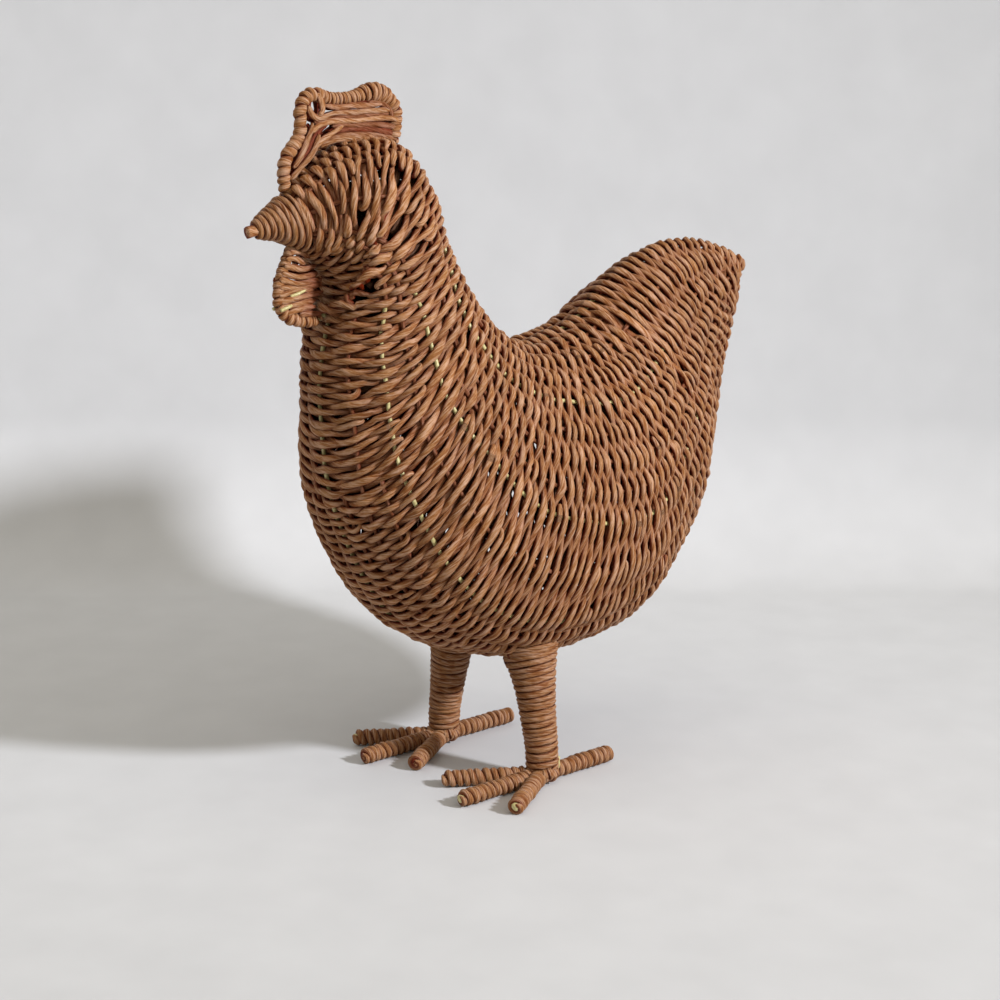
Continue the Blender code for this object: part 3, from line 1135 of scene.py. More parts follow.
    def weave(self, paper: bpy.types.Material) -> list[bpy.types.Object]:
        """Lays all the rows, in four pieces from the face to the tail.

        Args:
            paper: The rope's material.

        Returns:
            The woven pieces.
        """
        names = ("weave_head", "weave_breast", "weave_back", "weave_tail")
        bundles = [RopeBundle() for _ in names]
        for pair in range(self.pairs):
            bundle = bundles[sum(self.centre[pair] > border for border in self.borders)]
            ribs = self.active(float(self.form.girth_at(np.array(self.centre[pair]))))
            tone = float(np.clip(self.random.normal(1.0, 0.06), 0.86, 1.14))
            first, second = 2 * pair, 2 * pair + 1
            if self.kept[pair].all():
                for row in (first, second):
                    order = [*ribs, self.ribs + ribs[0]]
                    shade = tone * float(self.random.uniform(0.97, 1.03))
                    self.lay(bundle, [self.stretch(row, ribs, order)], shade)
                continue
            have = [rib for rib in ribs if self.kept[pair, rib]]
            if len(have) < 3:
                continue
            start = next(rib for rib in have if ribs[ribs.index(rib) - 1] not in have)
            order, at = [], ribs.index(start)
            for step in range(len(have)):
                index = at + step
                order.append(ribs[index % len(ribs)] + self.ribs * (index // len(ribs)))
            there = self.stretch(first, ribs, order)
            back = self.stretch(second, ribs, order[::-1])
            turn_far = self.turn(order[-1], first, second, 1, ribs)
            turn_near = self.turn(order[0], second, first, -1, ribs)
            back = tuple(part[1:] for part in back)
            there = tuple(part[1:] for part in there)
            self.lay(bundle, [there, turn_far, back, turn_near], tone)
        return [bundle.build(name, paper, "woven_body") for bundle, name in zip(bundles, names)]

    def buried(self, line: np.ndarray) -> np.ndarray:
        """Tells which points of a line lie well under the form's skin.

        Args:
            line: The points, in metres.

        Returns:
            True for each point that is deep enough for the lining.
        """
        stations, shares = np.arange(0.0, self.form.places[-1], 0.05), np.arange(0.0, 1.0, 1 / 180)
        place, share = (grid.ravel() for grid in np.meshgrid(stations, shares, indexing="ij"))
        skin, out = self.form.at(place, share), self.form.out(place, share)
        tree = KDTree(len(skin))
        for number, point in enumerate(skin):
            tree.insert(point, number)
        tree.balance()
        nearest = np.array([tree.find(point)[1] for point in line])
        height = ((line - skin[nearest]) * out[nearest]).sum(axis=1)
        return height < -self.lining_cover_mm * MM

    def lining(self, paper: bpy.types.Material) -> bpy.types.Object:
        """Coils a loose rope inside the basket, close together in the head.

        Args:
            paper: The rope's material.

        Returns:
            The coil.
        """
        form = self.form
        run = np.concatenate([[0.0], np.cumsum(np.diff(form.places) * form.spacing.mean(axis=1)[1:])])
        pitch = np.interp(form.places, (7.0, 8.0), (self.lining_head_mm, self.lining_body_mm)) * MM
        turns = np.concatenate([[0.0], np.cumsum(np.diff(run) / pitch[1:])])
        first, last = np.interp((0.8, form.places[-1] - 1.0), form.places, turns)
        share = np.linspace(first, last, int((last - first) * self.lining_samples))
        place = np.interp(share, turns, form.places)
        depth = np.minimum(self.lining_depth_mm * MM, 0.03 * form.girth_at(place))
        line, out = form.at(place, share, -depth), form.out(place, share)
        kept = self.buried(line)
        bundle = RopeBundle(sides=6)
        half_width, half_height = (0.5 * size * MM for size in self.lining_rope_mm)
        for span in np.split(np.arange(len(line)), np.flatnonzero(np.diff(kept)) + 1):
            if kept[span[0]] and len(span) > 3:
                # Its low tone and its depth paint the shade inside the basket.
                bundle.add(line[span], out[span], half_width, half_height, self.lining_shade_tone, 0.7, depth=0.35)
        return bundle.build("weave_lining", paper, "woven_body")

    def frame_wires(self, yellow: bpy.types.Material, paper: bpy.types.Material) -> list[bpy.types.Object]:
        """The ribs of the frame, bare yellow or wrapped in paper.

        Args:
            yellow: Material of the bare ribs.
            paper: Material of the wrapped ribs.

        Returns:
            The two pieces.
        """
        bundles = {WireCoat.YELLOW: RopeBundle(sides=8), WireCoat.PAPER: RopeBundle(sides=8)}
        girth = self.form.girth
        for rib in range(self.ribs):
            wide = self.form.places[girth > self.short_rib_girth_m]
            whole = (0.0, self.form.places[-1] - 0.25)
            start, stop = whole if rib in self.long_ribs else (wide[0], wide[-1])
            marks = [start, stop]
            if rib in self.yellow_ribs:
                marks = [start, self.bare_from, self.bare_to, stop]
            for number, (begin, end) in enumerate(zip(marks[:-1], marks[1:])):
                place = np.linspace(begin, end, int((end - begin) * 9) + 2)
                share = self.share_of(np.full(len(place), float(rib)), place)
                coat = WireCoat.YELLOW if rib in self.yellow_ribs and number == 1 else WireCoat.PAPER
                radius = self.rib_radius_mm * MM * (1.12 if coat is WireCoat.PAPER else 1.0)
                # Painted shade: the wrapped ribs lie among the ropes and are darkened.
                depth = 0.6 if coat is WireCoat.PAPER else 0.0
                centre, outward = self.form.at(place, share), self.form.out(place, share)
                bundles[coat].add(centre, outward, radius, radius, 0.85, rib * 0.37, depth=depth)
        return [
            bundles[WireCoat.YELLOW].build("ribs_yellow", yellow, "woven_body"),
            bundles[WireCoat.PAPER].build("ribs_wrapped", paper, "woven_body"),
        ]


@dataclass
class Winding:
    """Rope wound round a core, one turn beside the last."""

    pitch_mm: float = 3.0
    rope_height_mm: float = 2.6
    sample_mm: float = 1.7
    unevenness: float = 0.10  # spread of the turns' widths
    waver: float = 0.4  # how much the turns differ in their lean
    seed: int = 3
    coarse: Table = ((0.0, 1.0), (1.0, 1.0))  # share of the line, width of its turns

    def __post_init__(self) -> None:
        """Starts its own run of random numbers."""
        self.random = np.random.default_rng(self.seed)

    def wind(
        self,
        bundle: RopeBundle,
        line: np.ndarray,
        radius: np.ndarray,
        first: np.ndarray,
        tone: float = 1.0,
        slant: float = 0.0,
        slant_towards: float = 0.0,
    ) -> None:
        """Winds one rope along a line.

        Args:
            bundle: Where the rope goes.
            line: Points of the core's middle.
            radius: Outer radius of the wound piece at each point.
            first: Direction of the winding's zero angle.
            tone: Brightness of the dye.
            slant: How far each turn leans along the line, in metres.
            slant_towards: Angle that the lean points to.
        """
        lengths = np.concatenate([[0.0], np.cumsum(np.linalg.norm(np.diff(line, axis=0), axis=1))])
        total = lengths[-1]
        pitch = self.pitch_mm * MM
        turns = max(2, int(round(total / pitch)))
        shares, factors = zip(*self.coarse)
        widths = np.clip(self.random.normal(1.0, self.unevenness, turns), 0.6, 1.6)
        widths *= np.interp((np.arange(turns) + 0.5) / turns, shares, factors)
        widths *= total / widths.sum()
        ends = np.concatenate([[0.0], np.cumsum(widths)])
        per_turn = max(14, int(2.0 * math.pi * float(np.mean(radius)) / (self.sample_mm * MM)))
        turn = np.linspace(0.0, turns, turns * per_turn)
        angle = 2.0 * math.pi * turn
        local = np.interp(turn, np.arange(turns) + 0.5, widths)
        swells = int(turns * 1.7) + 2
        grow = np.interp(turn * 1.7, np.arange(swells), self.random.normal(0.0, 0.06, swells))
        leans = slant * np.interp(turn, np.arange(turns + 1), self.random.normal(1.0, self.waver, turns + 1))
        along = np.interp(turn, np.arange(turns + 1), ends)
        s = np.clip(along + leans * np.cos(angle - slant_towards), 0.0, total)
        where = np.stack([np.interp(s, lengths, line[:, i]) for i in range(3)], -1)
        size = np.interp(s, lengths, radius)
        ahead_line = unit(np.gradient(line, lengths, axis=0))
        ahead = unit(np.stack([np.interp(s, lengths, ahead_line[:, i]) for i in range(3)], -1))
        one = unit(first - ahead * (ahead * first).sum(-1, keepdims=True))
        two = np.cross(ahead, one)
        out = one * np.cos(angle)[:, None] + two * np.sin(angle)[:, None]
        half_height = 0.5 * self.rope_height_mm * MM * (1.0 + grow)
        centre = where + out * (size - 0.5 * self.rope_height_mm * MM)[:, None]
        half_width = 0.5 * local * 1.03
        fade = taper(len(turn), 0.35, 5.0)
        pattern = float(self.random.uniform(0, 4))
        bundle.add(centre, unit(out), half_width * fade, half_height * fade, tone, pattern)


def tube(
    line: np.ndarray,
    radius: np.ndarray | float,
    bundle: RopeBundle,
    tone: float = 0.9,
    start: float = 0.0,
) -> None:
    """Adds a plain round core or wire along a line.

    Args:
        line: Its middle points.
        radius: Its radius, one or one for each point.
        bundle: Where it goes.
        tone: Brightness.
        start: Where its pattern starts.
    """
    ahead = unit(np.gradient(line, axis=0))
    guide = np.array([1.0, 0.0, 0.0]) if abs(ahead[len(ahead) // 2][0]) < 0.8 else np.array([0.0, 0.0, 1.0])
    outward = unit(guide - ahead * (ahead @ guide)[:, None])
    bundle.add(line, outward, radius, radius, tone, start)


@dataclass
class Beak:
    """Cone of coiled rope that ends in a small knotted tip."""

    pitch_mm: float = 3.3
    rope_mm: float = 2.8
    coil_end: float = 4.35  # station of the beak where the coil stops
    core_end: float = 5.2  # and where the core under it stops
    samples: int = 36  # points on each turn

    def build(self, paper: bpy.types.Material) -> bpy.types.Object:
        """Coils the cone and ties its tip.

        Args:
            paper: The rope's material.

        Returns:
            The beak.
        """
        form = SectionForm(BEAK_STATIONS, inset_mm=1.2)
        bundle = RopeBundle(sides=10, side_shade_power=0.75)
        slope = form.points[:, form.columns // 4]
        run = np.concatenate([[0.0], np.cumsum(np.linalg.norm(np.diff(slope, axis=0), axis=1))])
        stop = np.interp(self.coil_end, form.places, run)
        turns = stop / (self.pitch_mm * MM)
        steps = int(turns * self.samples)
        angle = np.linspace(0.0, turns, steps)
        place = np.interp(angle * self.pitch_mm * MM, run, form.places)
        centre = form.at(place, angle)
        fade = taper(steps, 0.4, 6.0)
        half_width, half_height = 0.5 * self.pitch_mm * MM * 0.95 * fade, 0.5 * self.rope_mm * MM * fade
        bundle.add(centre, form.out(place, angle), half_width, half_height, 0.88, 0.4)
        core_place = np.linspace(0.0, self.core_end, 24)
        top, left, low, right = (form.at(core_place, np.full(24, quarter / 4.0)) for quarter in range(4))
        core_radius = np.maximum(0.5 * np.linalg.norm(left - right, axis=1) - 1.0 * MM, 0.8 * MM)
        tube(0.5 * (top + low), core_radius, bundle, 0.55)
        nub = smooth_line(BEAK_TIP, 5) * MM
        sizes = np.interp(np.arange(len(nub)), [0, 8, 13, 16, 18, 20], [2.2, 2.7, 3.2, 3.3, 2.8, 1.2]) * MM
        bundle.add(nub, np.broadcast_to(np.array([1.0, 0.0, 0.3]), nub.shape), sizes, sizes, 1.10, 2.1)
        return bundle.build("beak_coil", paper, "beak")


NEVER_DIM_MM = (900.0, 901.0)  # past every strand


@dataclass
class FlatOpenwork:
    """A flat piece in the middle plane: a wrapped rim with strands across it."""

    name: str
    node: str
    rim: tuple[Point, ...]  # (y, z) of the rim's middle and its outer radius, in millimetres
    strands: tuple[tuple[Point, ...], ...]  # (x, y, z) of each strand
    coarse: Table = ((0.0, 1.0), (1.0, 1.0))  # share of the rim, width of its turns
    strand_width_mm: float = 3.15
    strand_height_mm: float = 2.5
    dim_mm: tuple[float, float] = NEVER_DIM_MM  # y where the painted shadow on the strands starts and is darkest
    bare: tuple[tuple[Point, ...], ...] = ()  # (x, y, z) of wire that shows between the strands
    seed: int = 5

    def build(self, paper: bpy.types.Material, yellow: bpy.types.Material) -> list[bpy.types.Object]:
        """Wraps the rim, lays the strands and adds the wire.

        Args:
            paper: The rope's material.
            yellow: The wire's material.

        Returns:
            The rope piece and the wire piece.
        """
        random = np.random.default_rng(self.seed)
        outline = smooth_line(self.rim, 8) * MM
        line = np.concatenate([np.zeros((len(outline), 1)), outline[:, :2]], axis=1)
        bundle = RopeBundle(sides=10, side_shade_power=1.0)
        winding = Winding(pitch_mm=3.5, sample_mm=1.3, unevenness=0.18, seed=self.seed, coarse=self.coarse)
        winding.wind(bundle, line, outline[:, 2], ACROSS)
        for number, points in enumerate(self.strands * 2):
            face = 1.0 if number < len(self.strands) else -1.0
            places = np.array(points) * (face, 1.0, 1.0)
            if face < 0.0:
                places[:, 1:] += random.normal(0.0, 0.35, 2)
            path = smooth_line(places, 7) * MM
            fade = taper(len(path), 0.45, 2.75)
            swell = 1.0 + 0.10 * np.sin(np.linspace(0, 7.0, len(path)) + random.uniform(0, 6))
            # Painted shadow on the strands past the dim_mm mark.
            shaded = np.interp(path[:, 1] / MM, self.dim_mm, (0.0, 0.7))
            # Painted shade on the strands that lie nearer the middle plane, behind the others.
            behind_shade = np.interp(np.abs(path[:, 0]) / MM, (1.0, 2.2), (0.9, 0.0))
            bundle.add(
                path,
                np.broadcast_to(face * ACROSS, path.shape),
                0.5 * self.strand_width_mm * MM * fade * swell,
                0.5 * self.strand_height_mm * MM * fade,
                float(random.uniform(0.86, 1.06)),
                0.3 * number,
                depth=np.maximum(shaded, behind_shade),
            )
        wire = RopeBundle(sides=8)
        tube(line, 1.1 * MM, wire)
        for points in self.bare:
            for face in (1.0, -1.0):
                tube(smooth_line(np.array(points) * (face, 1.0, 1.0), 6) * MM, 0.9 * MM, wire)
        return [bundle.build(self.name, paper, self.node), wire.build(self.name + "_wire", yellow, self.node)]


# Rims and strands of the comb and the wattle, laid out as FlatOpenwork takes them.
COMB_RIM = (
    (-154.0, 328.0, 3.3), (-154.8, 334.4, 3.4), (-154.6, 339.6, 3.5), (-153.6, 344.0, 3.6),
    (-150.6, 348.4, 3.6), (-147.2, 352.2, 3.5), (-144.9, 356.0, 3.4), (-144.2, 360.5, 3.4),
    (-144.2, 366.3, 3.4), (-143.2, 370.6, 3.5), (-140.8, 373.6, 3.6), (-137.3, 375.0, 3.6),
    (-133.7, 374.9, 3.6), (-128.9, 373.3, 3.5), (-123.4, 372.4, 3.4), (-116.6, 372.5, 3.4),
    (-111.0, 373.3, 3.6), (-106.0, 374.6, 4.1), (-101.8, 375.2, 4.9), (-97.4, 374.9, 5.2),
    (-93.2, 373.4, 5.0), (-89.8, 371.0, 4.4), (-86.6, 368.0, 4.0), (-85.2, 364.2, 3.9),
    (-85.4, 359.7, 3.9), (-86.0, 355.0, 3.8), (-87.0, 350.0, 3.6),
)

# Share of the comb's rim, and there the width of its turns against the usual.
COMB_TURNS = ((0.0, 1.3), (0.3, 1.3), (0.42, 0.85), (0.62, 0.8), (0.74, 1.15), (1.0, 1.2))

COMB_STRANDS = (
    (
        (1.9, -130.8, 369.8), (1.9, -122.5, 368.3), (1.9, -115.1, 369.0), (1.9, -107.6, 368.8),
        (1.9, -101.4, 368.8), (1.9, -94.6, 369.4),
    ),
    (
        (0.4, -131.2, 371.5), (0.4, -124.8, 370.8), (0.4, -117.5, 370.6), (0.4, -110.0, 370.7),
        (0.4, -101.5, 371.4),
    ),
    (
        (2.2, -140.6, 369.7), (2.2, -139.1, 366.2), (2.2, -135.6, 363.7), (2.2, -130.1, 364.2),
        (2.2, -125.2, 365.6), (2.2, -117.8, 365.8), (2.2, -110.4, 365.7), (2.2, -101.6, 366.1),
        (2.2, -89.6, 366.0),
    ),
    (
        (1.5, -137.0, 361.8), (1.5, -132.2, 361.8), (1.5, -126.0, 362.7), (1.5, -119.9, 363.7),
        (1.5, -111.2, 363.6), (1.5, -102.4, 363.8), (1.5, -90.0, 364.4),
    ),
    (
        (2.2, -139.4, 356.5), (2.2, -135.7, 359.3), (2.2, -130.2, 361.3), (2.2, -122.8, 361.9),
        (2.2, -114.2, 361.4), (2.2, -105.4, 362.0), (2.2, -96.6, 362.2), (2.3, -88.9, 361.7),
        (2.8, -84.5, 359.8),
    ),
    (
        (1.5, -126.1, 359.0), (1.5, -119.9, 359.8), (1.5, -112.5, 359.4), (1.5, -105.0, 359.3),
        (1.5, -97.4, 359.0), (1.6, -89.8, 357.9), (2.2, -84.7, 356.2),
    ),
    (
        (1.0, -128.0, 356.4), (1.0, -119.0, 357.4), (1.0, -108.0, 357.0), (1.0, -97.0, 356.4),
        (1.0, -87.0, 354.6),
    ),
    (
        (2.4, -135.4, 375.6), (2.5, -133.6, 373.0), (2.5, -132.7, 369.9), (2.5, -132.8, 366.8),
        (2.3, -134.8, 365.2),
    ),
    ((0.8, -138.9, 373.4), (0.8, -139.8, 369.6), (0.8, -138.7, 366.2), (0.8, -136.4, 363.2)),
    (
        (2.0, -138.1, 361.4), (2.2, -139.7, 357.0), (2.2, -141.9, 352.8), (2.2, -144.4, 348.0),
        (2.2, -147.5, 343.4), (2.0, -150.4, 340.0),
    ),
    (
        (0.8, -134.6, 358.6), (1.0, -137.6, 353.6), (1.0, -140.6, 348.4), (1.0, -144.4, 343.8),
        (1.0, -149.0, 339.4),
    ),
    (
        (2.4, -134.5, 355.6), (2.6, -137.1, 350.2), (2.7, -139.9, 345.9), (2.7, -143.7, 342.2),
        (2.6, -148.3, 338.4), (2.2, -152.2, 334.4),
    ),
    (
        (2.2, -120.0, 359.4), (2.5, -125.2, 356.7), (2.6, -129.9, 354.2), (2.6, -134.5, 351.8),
        (2.4, -138.6, 348.2),
    ),
    (
        (1.0, -128.1, 360.9), (1.0, -132.6, 358.4), (1.0, -135.2, 354.9), (1.0, -137.8, 350.1),
        (1.0, -141.4, 345.4),
    ),
    (
        (1.8, -130.0, 352.8), (1.8, -120.0, 354.4), (1.8, -108.0, 354.4), (1.8, -96.0, 353.2),
        (1.8, -86.0, 351.2),
    ),
    (
        (2.4, -134.0, 349.6), (2.4, -126.0, 352.2), (2.4, -116.0, 353.0), (2.4, -104.0, 352.2),
        (2.4, -92.0, 351.0),
    ),
    (
        (1.2, -124.0, 356.8), (1.2, -114.0, 357.6), (1.2, -103.0, 357.0), (1.2, -93.0, 355.4),
        (1.2, -86.0, 352.6),
    ),
    (
        (0.6, -107.5, 371.2), (0.6, -101.0, 371.6), (0.6, -95.0, 371.4), (0.6, -90.5, 369.6),
        (0.6, -87.5, 366.0),
    ),
    (
        (1.6, -104.0, 369.6), (1.6, -98.0, 370.2), (1.6, -92.5, 368.4), (1.6, -89.0, 364.8),
        (1.6, -87.8, 360.6),
    ),
)

WATTLE_RIM = (
    (-149.0, 305.0, 2.9), (-151.6, 300.6, 2.9), (-153.6, 296.4, 2.9), (-156.0, 291.8, 3.0),
    (-157.9, 287.0, 3.0), (-159.2, 282.2, 3.1), (-159.7, 277.2, 3.2), (-159.0, 272.7, 3.3),
    (-156.9, 268.7, 3.5), (-152.6, 265.6, 3.6), (-146.9, 264.1, 3.6), (-140.8, 263.6, 3.5),
    (-135.0, 263.8, 3.4),
)

WATTLE_STRANDS = (
    ((1.8, -153.6, 298.4), (2.2, -151.0, 299.0), (2.2, -146.2, 298.1), (1.8, -141.4, 295.4)),
    ((1.8, -155.6, 294.8), (2.4, -154.0, 295.9), (2.4, -149.8, 295.2), (2.0, -144.8, 292.6)),
    (
        (1.8, -157.2, 292.0), (2.6, -154.4, 291.9), (2.5, -148.4, 290.3), (2.4, -143.5, 290.2),
        (2.0, -137.6, 291.2),
    ),
    (
        (1.8, -158.8, 289.0), (2.6, -155.8, 288.2), (2.6, -149.8, 286.4), (2.5, -143.8, 286.4),
        (2.0, -137.0, 287.2),
    ),
    (
        (1.6, -160.0, 285.6), (2.6, -157.1, 285.2), (2.6, -149.9, 283.2), (2.5, -142.6, 283.5),
        (2.0, -134.6, 284.0),
    ),
    (
        (1.6, -160.6, 281.7), (2.5, -156.8, 281.8), (2.4, -149.5, 280.9), (2.3, -142.2, 281.3),
        (2.0, -134.6, 281.4),
    ),
    (
        (1.6, -160.8, 278.2), (2.6, -158.5, 278.4), (2.4, -153.7, 279.5), (2.3, -147.5, 279.8),
        (2.2, -139.6, 278.8),
    ),
    (
        (1.6, -160.4, 275.0), (2.6, -157.4, 275.2), (2.6, -151.3, 275.9), (2.5, -142.7, 276.9),
        (2.0, -134.0, 277.6),
    ),
    (
        (1.6, -158.8, 271.6), (2.6, -156.1, 272.3), (2.6, -151.2, 272.9), (2.5, -145.4, 273.6),
        (2.2, -139.0, 273.8),
    ),
    (
        (1.8, -156.4, 268.3), (2.6, -154.5, 269.3), (2.6, -150.9, 270.2), (2.5, -145.5, 270.9),
        (2.2, -138.6, 270.4),
    ),
    ((1.8, -148.6, 266.8), (2.4, -146.0, 267.6), (2.2, -140.4, 267.2), (1.8, -134.6, 267.0)),
)

WATTLE_WIRES = (
    ((2.6, -154.4, 277.1), (3.3, -150.1, 278.2), (2.6, -145.2, 279.7)),
    ((3.2, -160.7, 270.8), (3.7, -157.3, 271.8), (3.2, -154.3, 272.7)),
)


class Side(Enum):
    """Side of the hen that a leg or foot is on, 1 towards +X."""

    LEFT = 1
    RIGHT = -1

    @property
    def label(self) -> str:
        """The side's name as in the names of the pieces."""
        return self.name.lower()


# Share of the way up a leg, and there the share of its growth in thickness and
# of its lean towards the middle. The last row lies inside the body.
LEG_PROFILE = (
    (0.0, 0.0, 0.0),
    (0.20, 0.03, 0.08),
    (0.40, 0.12, 0.30),
    (0.57, 0.24, 0.46),
    (0.70, 0.38, 0.60),
    (0.82, 0.60, 0.75),
    (0.92, 0.82, 0.90),
    (1.0, 1.0, 1.0),
    (1.12, 1.1, 1.1),
)


LEGS_APART_MM = 85.8
LEGS_Y_MM = -21.1


@dataclass
class Leg:
    """Wire post wrapped in rope, thicker towards the body."""

    side: Side
    spread_mm: float = LEGS_APART_MM
    lean_mm: float = 11.2
    ankle_mm: float = 18.4
    thigh_mm: float = 32.5
    feet_y_mm: float = LEGS_Y_MM
    ankle_height_mm: float = 10.6
    pitch_mm: float = 3.05

    def build(self, paper: bpy.types.Material) -> bpy.types.Object:
        """Winds the leg from the ankle up to the body.

        Args:
            paper: The rope's material.

        Returns:
            The leg.
        """
        _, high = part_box(f"{self.side.label}_leg")
        share, swell, lean = np.array(LEG_PROFILE).T
        at = np.linspace(0.0, share[-1], 60)
        sign = self.side.value
        foot_x = sign * self.spread_mm / 2.0
        reach = (high.z / MM - self.ankle_height_mm) * 0.93
        line = np.stack(
            [
                foot_x - sign * self.lean_mm * np.interp(at, share, lean),
                np.full(60, self.feet_y_mm),
                self.ankle_height_mm - 1.6 + at * reach,
            ],
            -1,
        ) * MM
        radius = 0.5 * (self.ankle_mm + (self.thigh_mm - self.ankle_mm) * np.interp(at, share, swell)) * MM
        bundle = RopeBundle(sides=8, side_shade_power=0.8)
        winding = Winding(self.pitch_mm, sample_mm=1.8, unevenness=0.17, waver=0.9, seed=20 + sign)
        winding.wind(bundle, line, radius, ACROSS, tone=0.88, slant=0.4 * MM, slant_towards=1.0 + sign)
        tube(line, radius - 1.7 * MM, bundle, 0.6)
        return bundle.build(f"{self.side.label}_leg_wrap", paper, f"{self.side.label}_leg")


# Turns of rope that bind a foot together: direction in degrees, height and
# reach in millimetres.
FOOT_BINDINGS = (
    (25.0, 5.6, 8.6),
    (-40.0, 6.0, 8.8),
    (80.0, 6.2, 7.6),
    (-80.0, 5.4, 7.8),
    (0.0, 5.6, 8.8),
    (-15.0, 6.6, 8.2),
    (55.0, 6.8, 8.0),
)


@dataclass
class Foot:
    """Three front toes and a hind toe of wrapped wire, bound under the leg."""

    side: Side
    spread_mm: float = LEGS_APART_MM
    feet_y_mm: float = LEGS_Y_MM
    toe_mm: float = 9.6
    toes_mm: tuple[float, float, float, float] = (59.5, 53.0, 56.0, 52.5)  # middle, outer, inner and hind toe
    toe_angle: float = 32.5
    pitch_mm: float = 3.9
    bare_tips: tuple[int, ...] = (0, 1)  # toes whose wire end shows
    coarse: Table = ((0.0, 0.8), (0.3, 1.0), (0.92, 1.0), (1.0, 0.7))  # share of a toe, width of its turns

    def build(self, paper: bpy.types.Material, yellow: bpy.types.Material) -> list[bpy.types.Object]:
        """Winds the toes, binds the middle and adds the wire ends.

        Args:
            paper: The rope's material.
            yellow: The wire's material.

        Returns:
            The rope piece and the wire piece.
        """
        bundle, wire = RopeBundle(sides=9, side_shade_power=0.85), RopeBundle(sides=12)
        sign = self.side.value
        middle = np.array([sign * self.spread_mm / 2.0, self.feet_y_mm, 0.0])
        angles = (0.0, sign * self.toe_angle, -sign * self.toe_angle, 180.0)
        for number, (degrees, length) in enumerate(zip(angles, self.toes_mm)):
            turn = math.radians(degrees)
            ahead = np.array([math.sin(turn), -math.cos(turn), 0.0])
            radius = self.toe_mm / 2.0
            at = np.linspace(4.0, length - 0.7, 60)
            line = middle + ahead * at[:, None] + UP * radius
            ball = np.sqrt(np.clip(1.0 - (np.clip(at - (length - 4.2), 0.0, None) / 4.6) ** 2, 0.0, 1.0))
            size = radius * (0.18 + 0.82 * ball)
            winding = Winding(
                self.pitch_mm,
                rope_height_mm=3.9,
                sample_mm=1.6,
                unevenness=0.07,
                seed=40 + 5 * number + sign,
                coarse=self.coarse,
            )
            winding.wind(bundle, line * MM, size * MM, UP, tone=0.88 + 0.02 * (number % 3), slant=0.35 * MM)
            tube(line[:-4] * MM, (size[:-4] - 2.6).clip(0.6) * MM, bundle, 0.55)
            bare = number in self.bare_tips
            stub = length - np.array([8.0, 4.0, 0.9, 0.3, 0.1 - 0.2 * bare])
            sizes = np.array([2.2, 2.2, 2.2, 1.9, 1.3])
            tube((middle + ahead * stub[:, None] + UP * radius) * MM, sizes * MM, wire if bare else bundle)
        for number, (degrees, height, reach) in enumerate(FOOT_BINDINGS):
            turn = math.radians(degrees)
            angles = np.linspace(0.0, 2.0 * math.pi, 29)[:-1]
            across = np.array([math.cos(turn), math.sin(turn), 0.0])
            tilt = np.array([-math.sin(turn) * 0.55, math.cos(turn) * 0.55, 0.0])
            centre = middle + UP * height
            ring = centre + across * (reach * np.cos(angles))[:, None]
            ring = ring + tilt * (3.5 * np.cos(angles + 0.6))[:, None]
            ring = ring + UP * (4.2 * np.sin(angles))[:, None]
            outward = unit(ring - centre)
            tone = 0.84 + 0.02 * number
            bundle.add(ring * MM, outward, 1.7 * MM, 1.3 * MM, tone, 0.6 * number, closed=True)
        core = middle + UP * np.linspace(1.2, 9.2, 6)[:, None]
        tube(core * MM, np.array([4.8, 6.2, 6.6, 6.6, 6.2, 4.8]) * MM, bundle, 0.7)
        post = middle + np.array([sign * 2.2, 9.6, 0.0]) + UP * np.linspace(6.5, 13.0, 5)[:, None]
        tube(post * MM, 1.25 * MM, wire)
        return [
            bundle.build(f"{self.side.label}_foot_wrap", paper, f"{self.side.label}_foot"),
            wire.build(f"{self.side.label}_foot_wire", yellow, f"{self.side.label}_foot"),
        ]


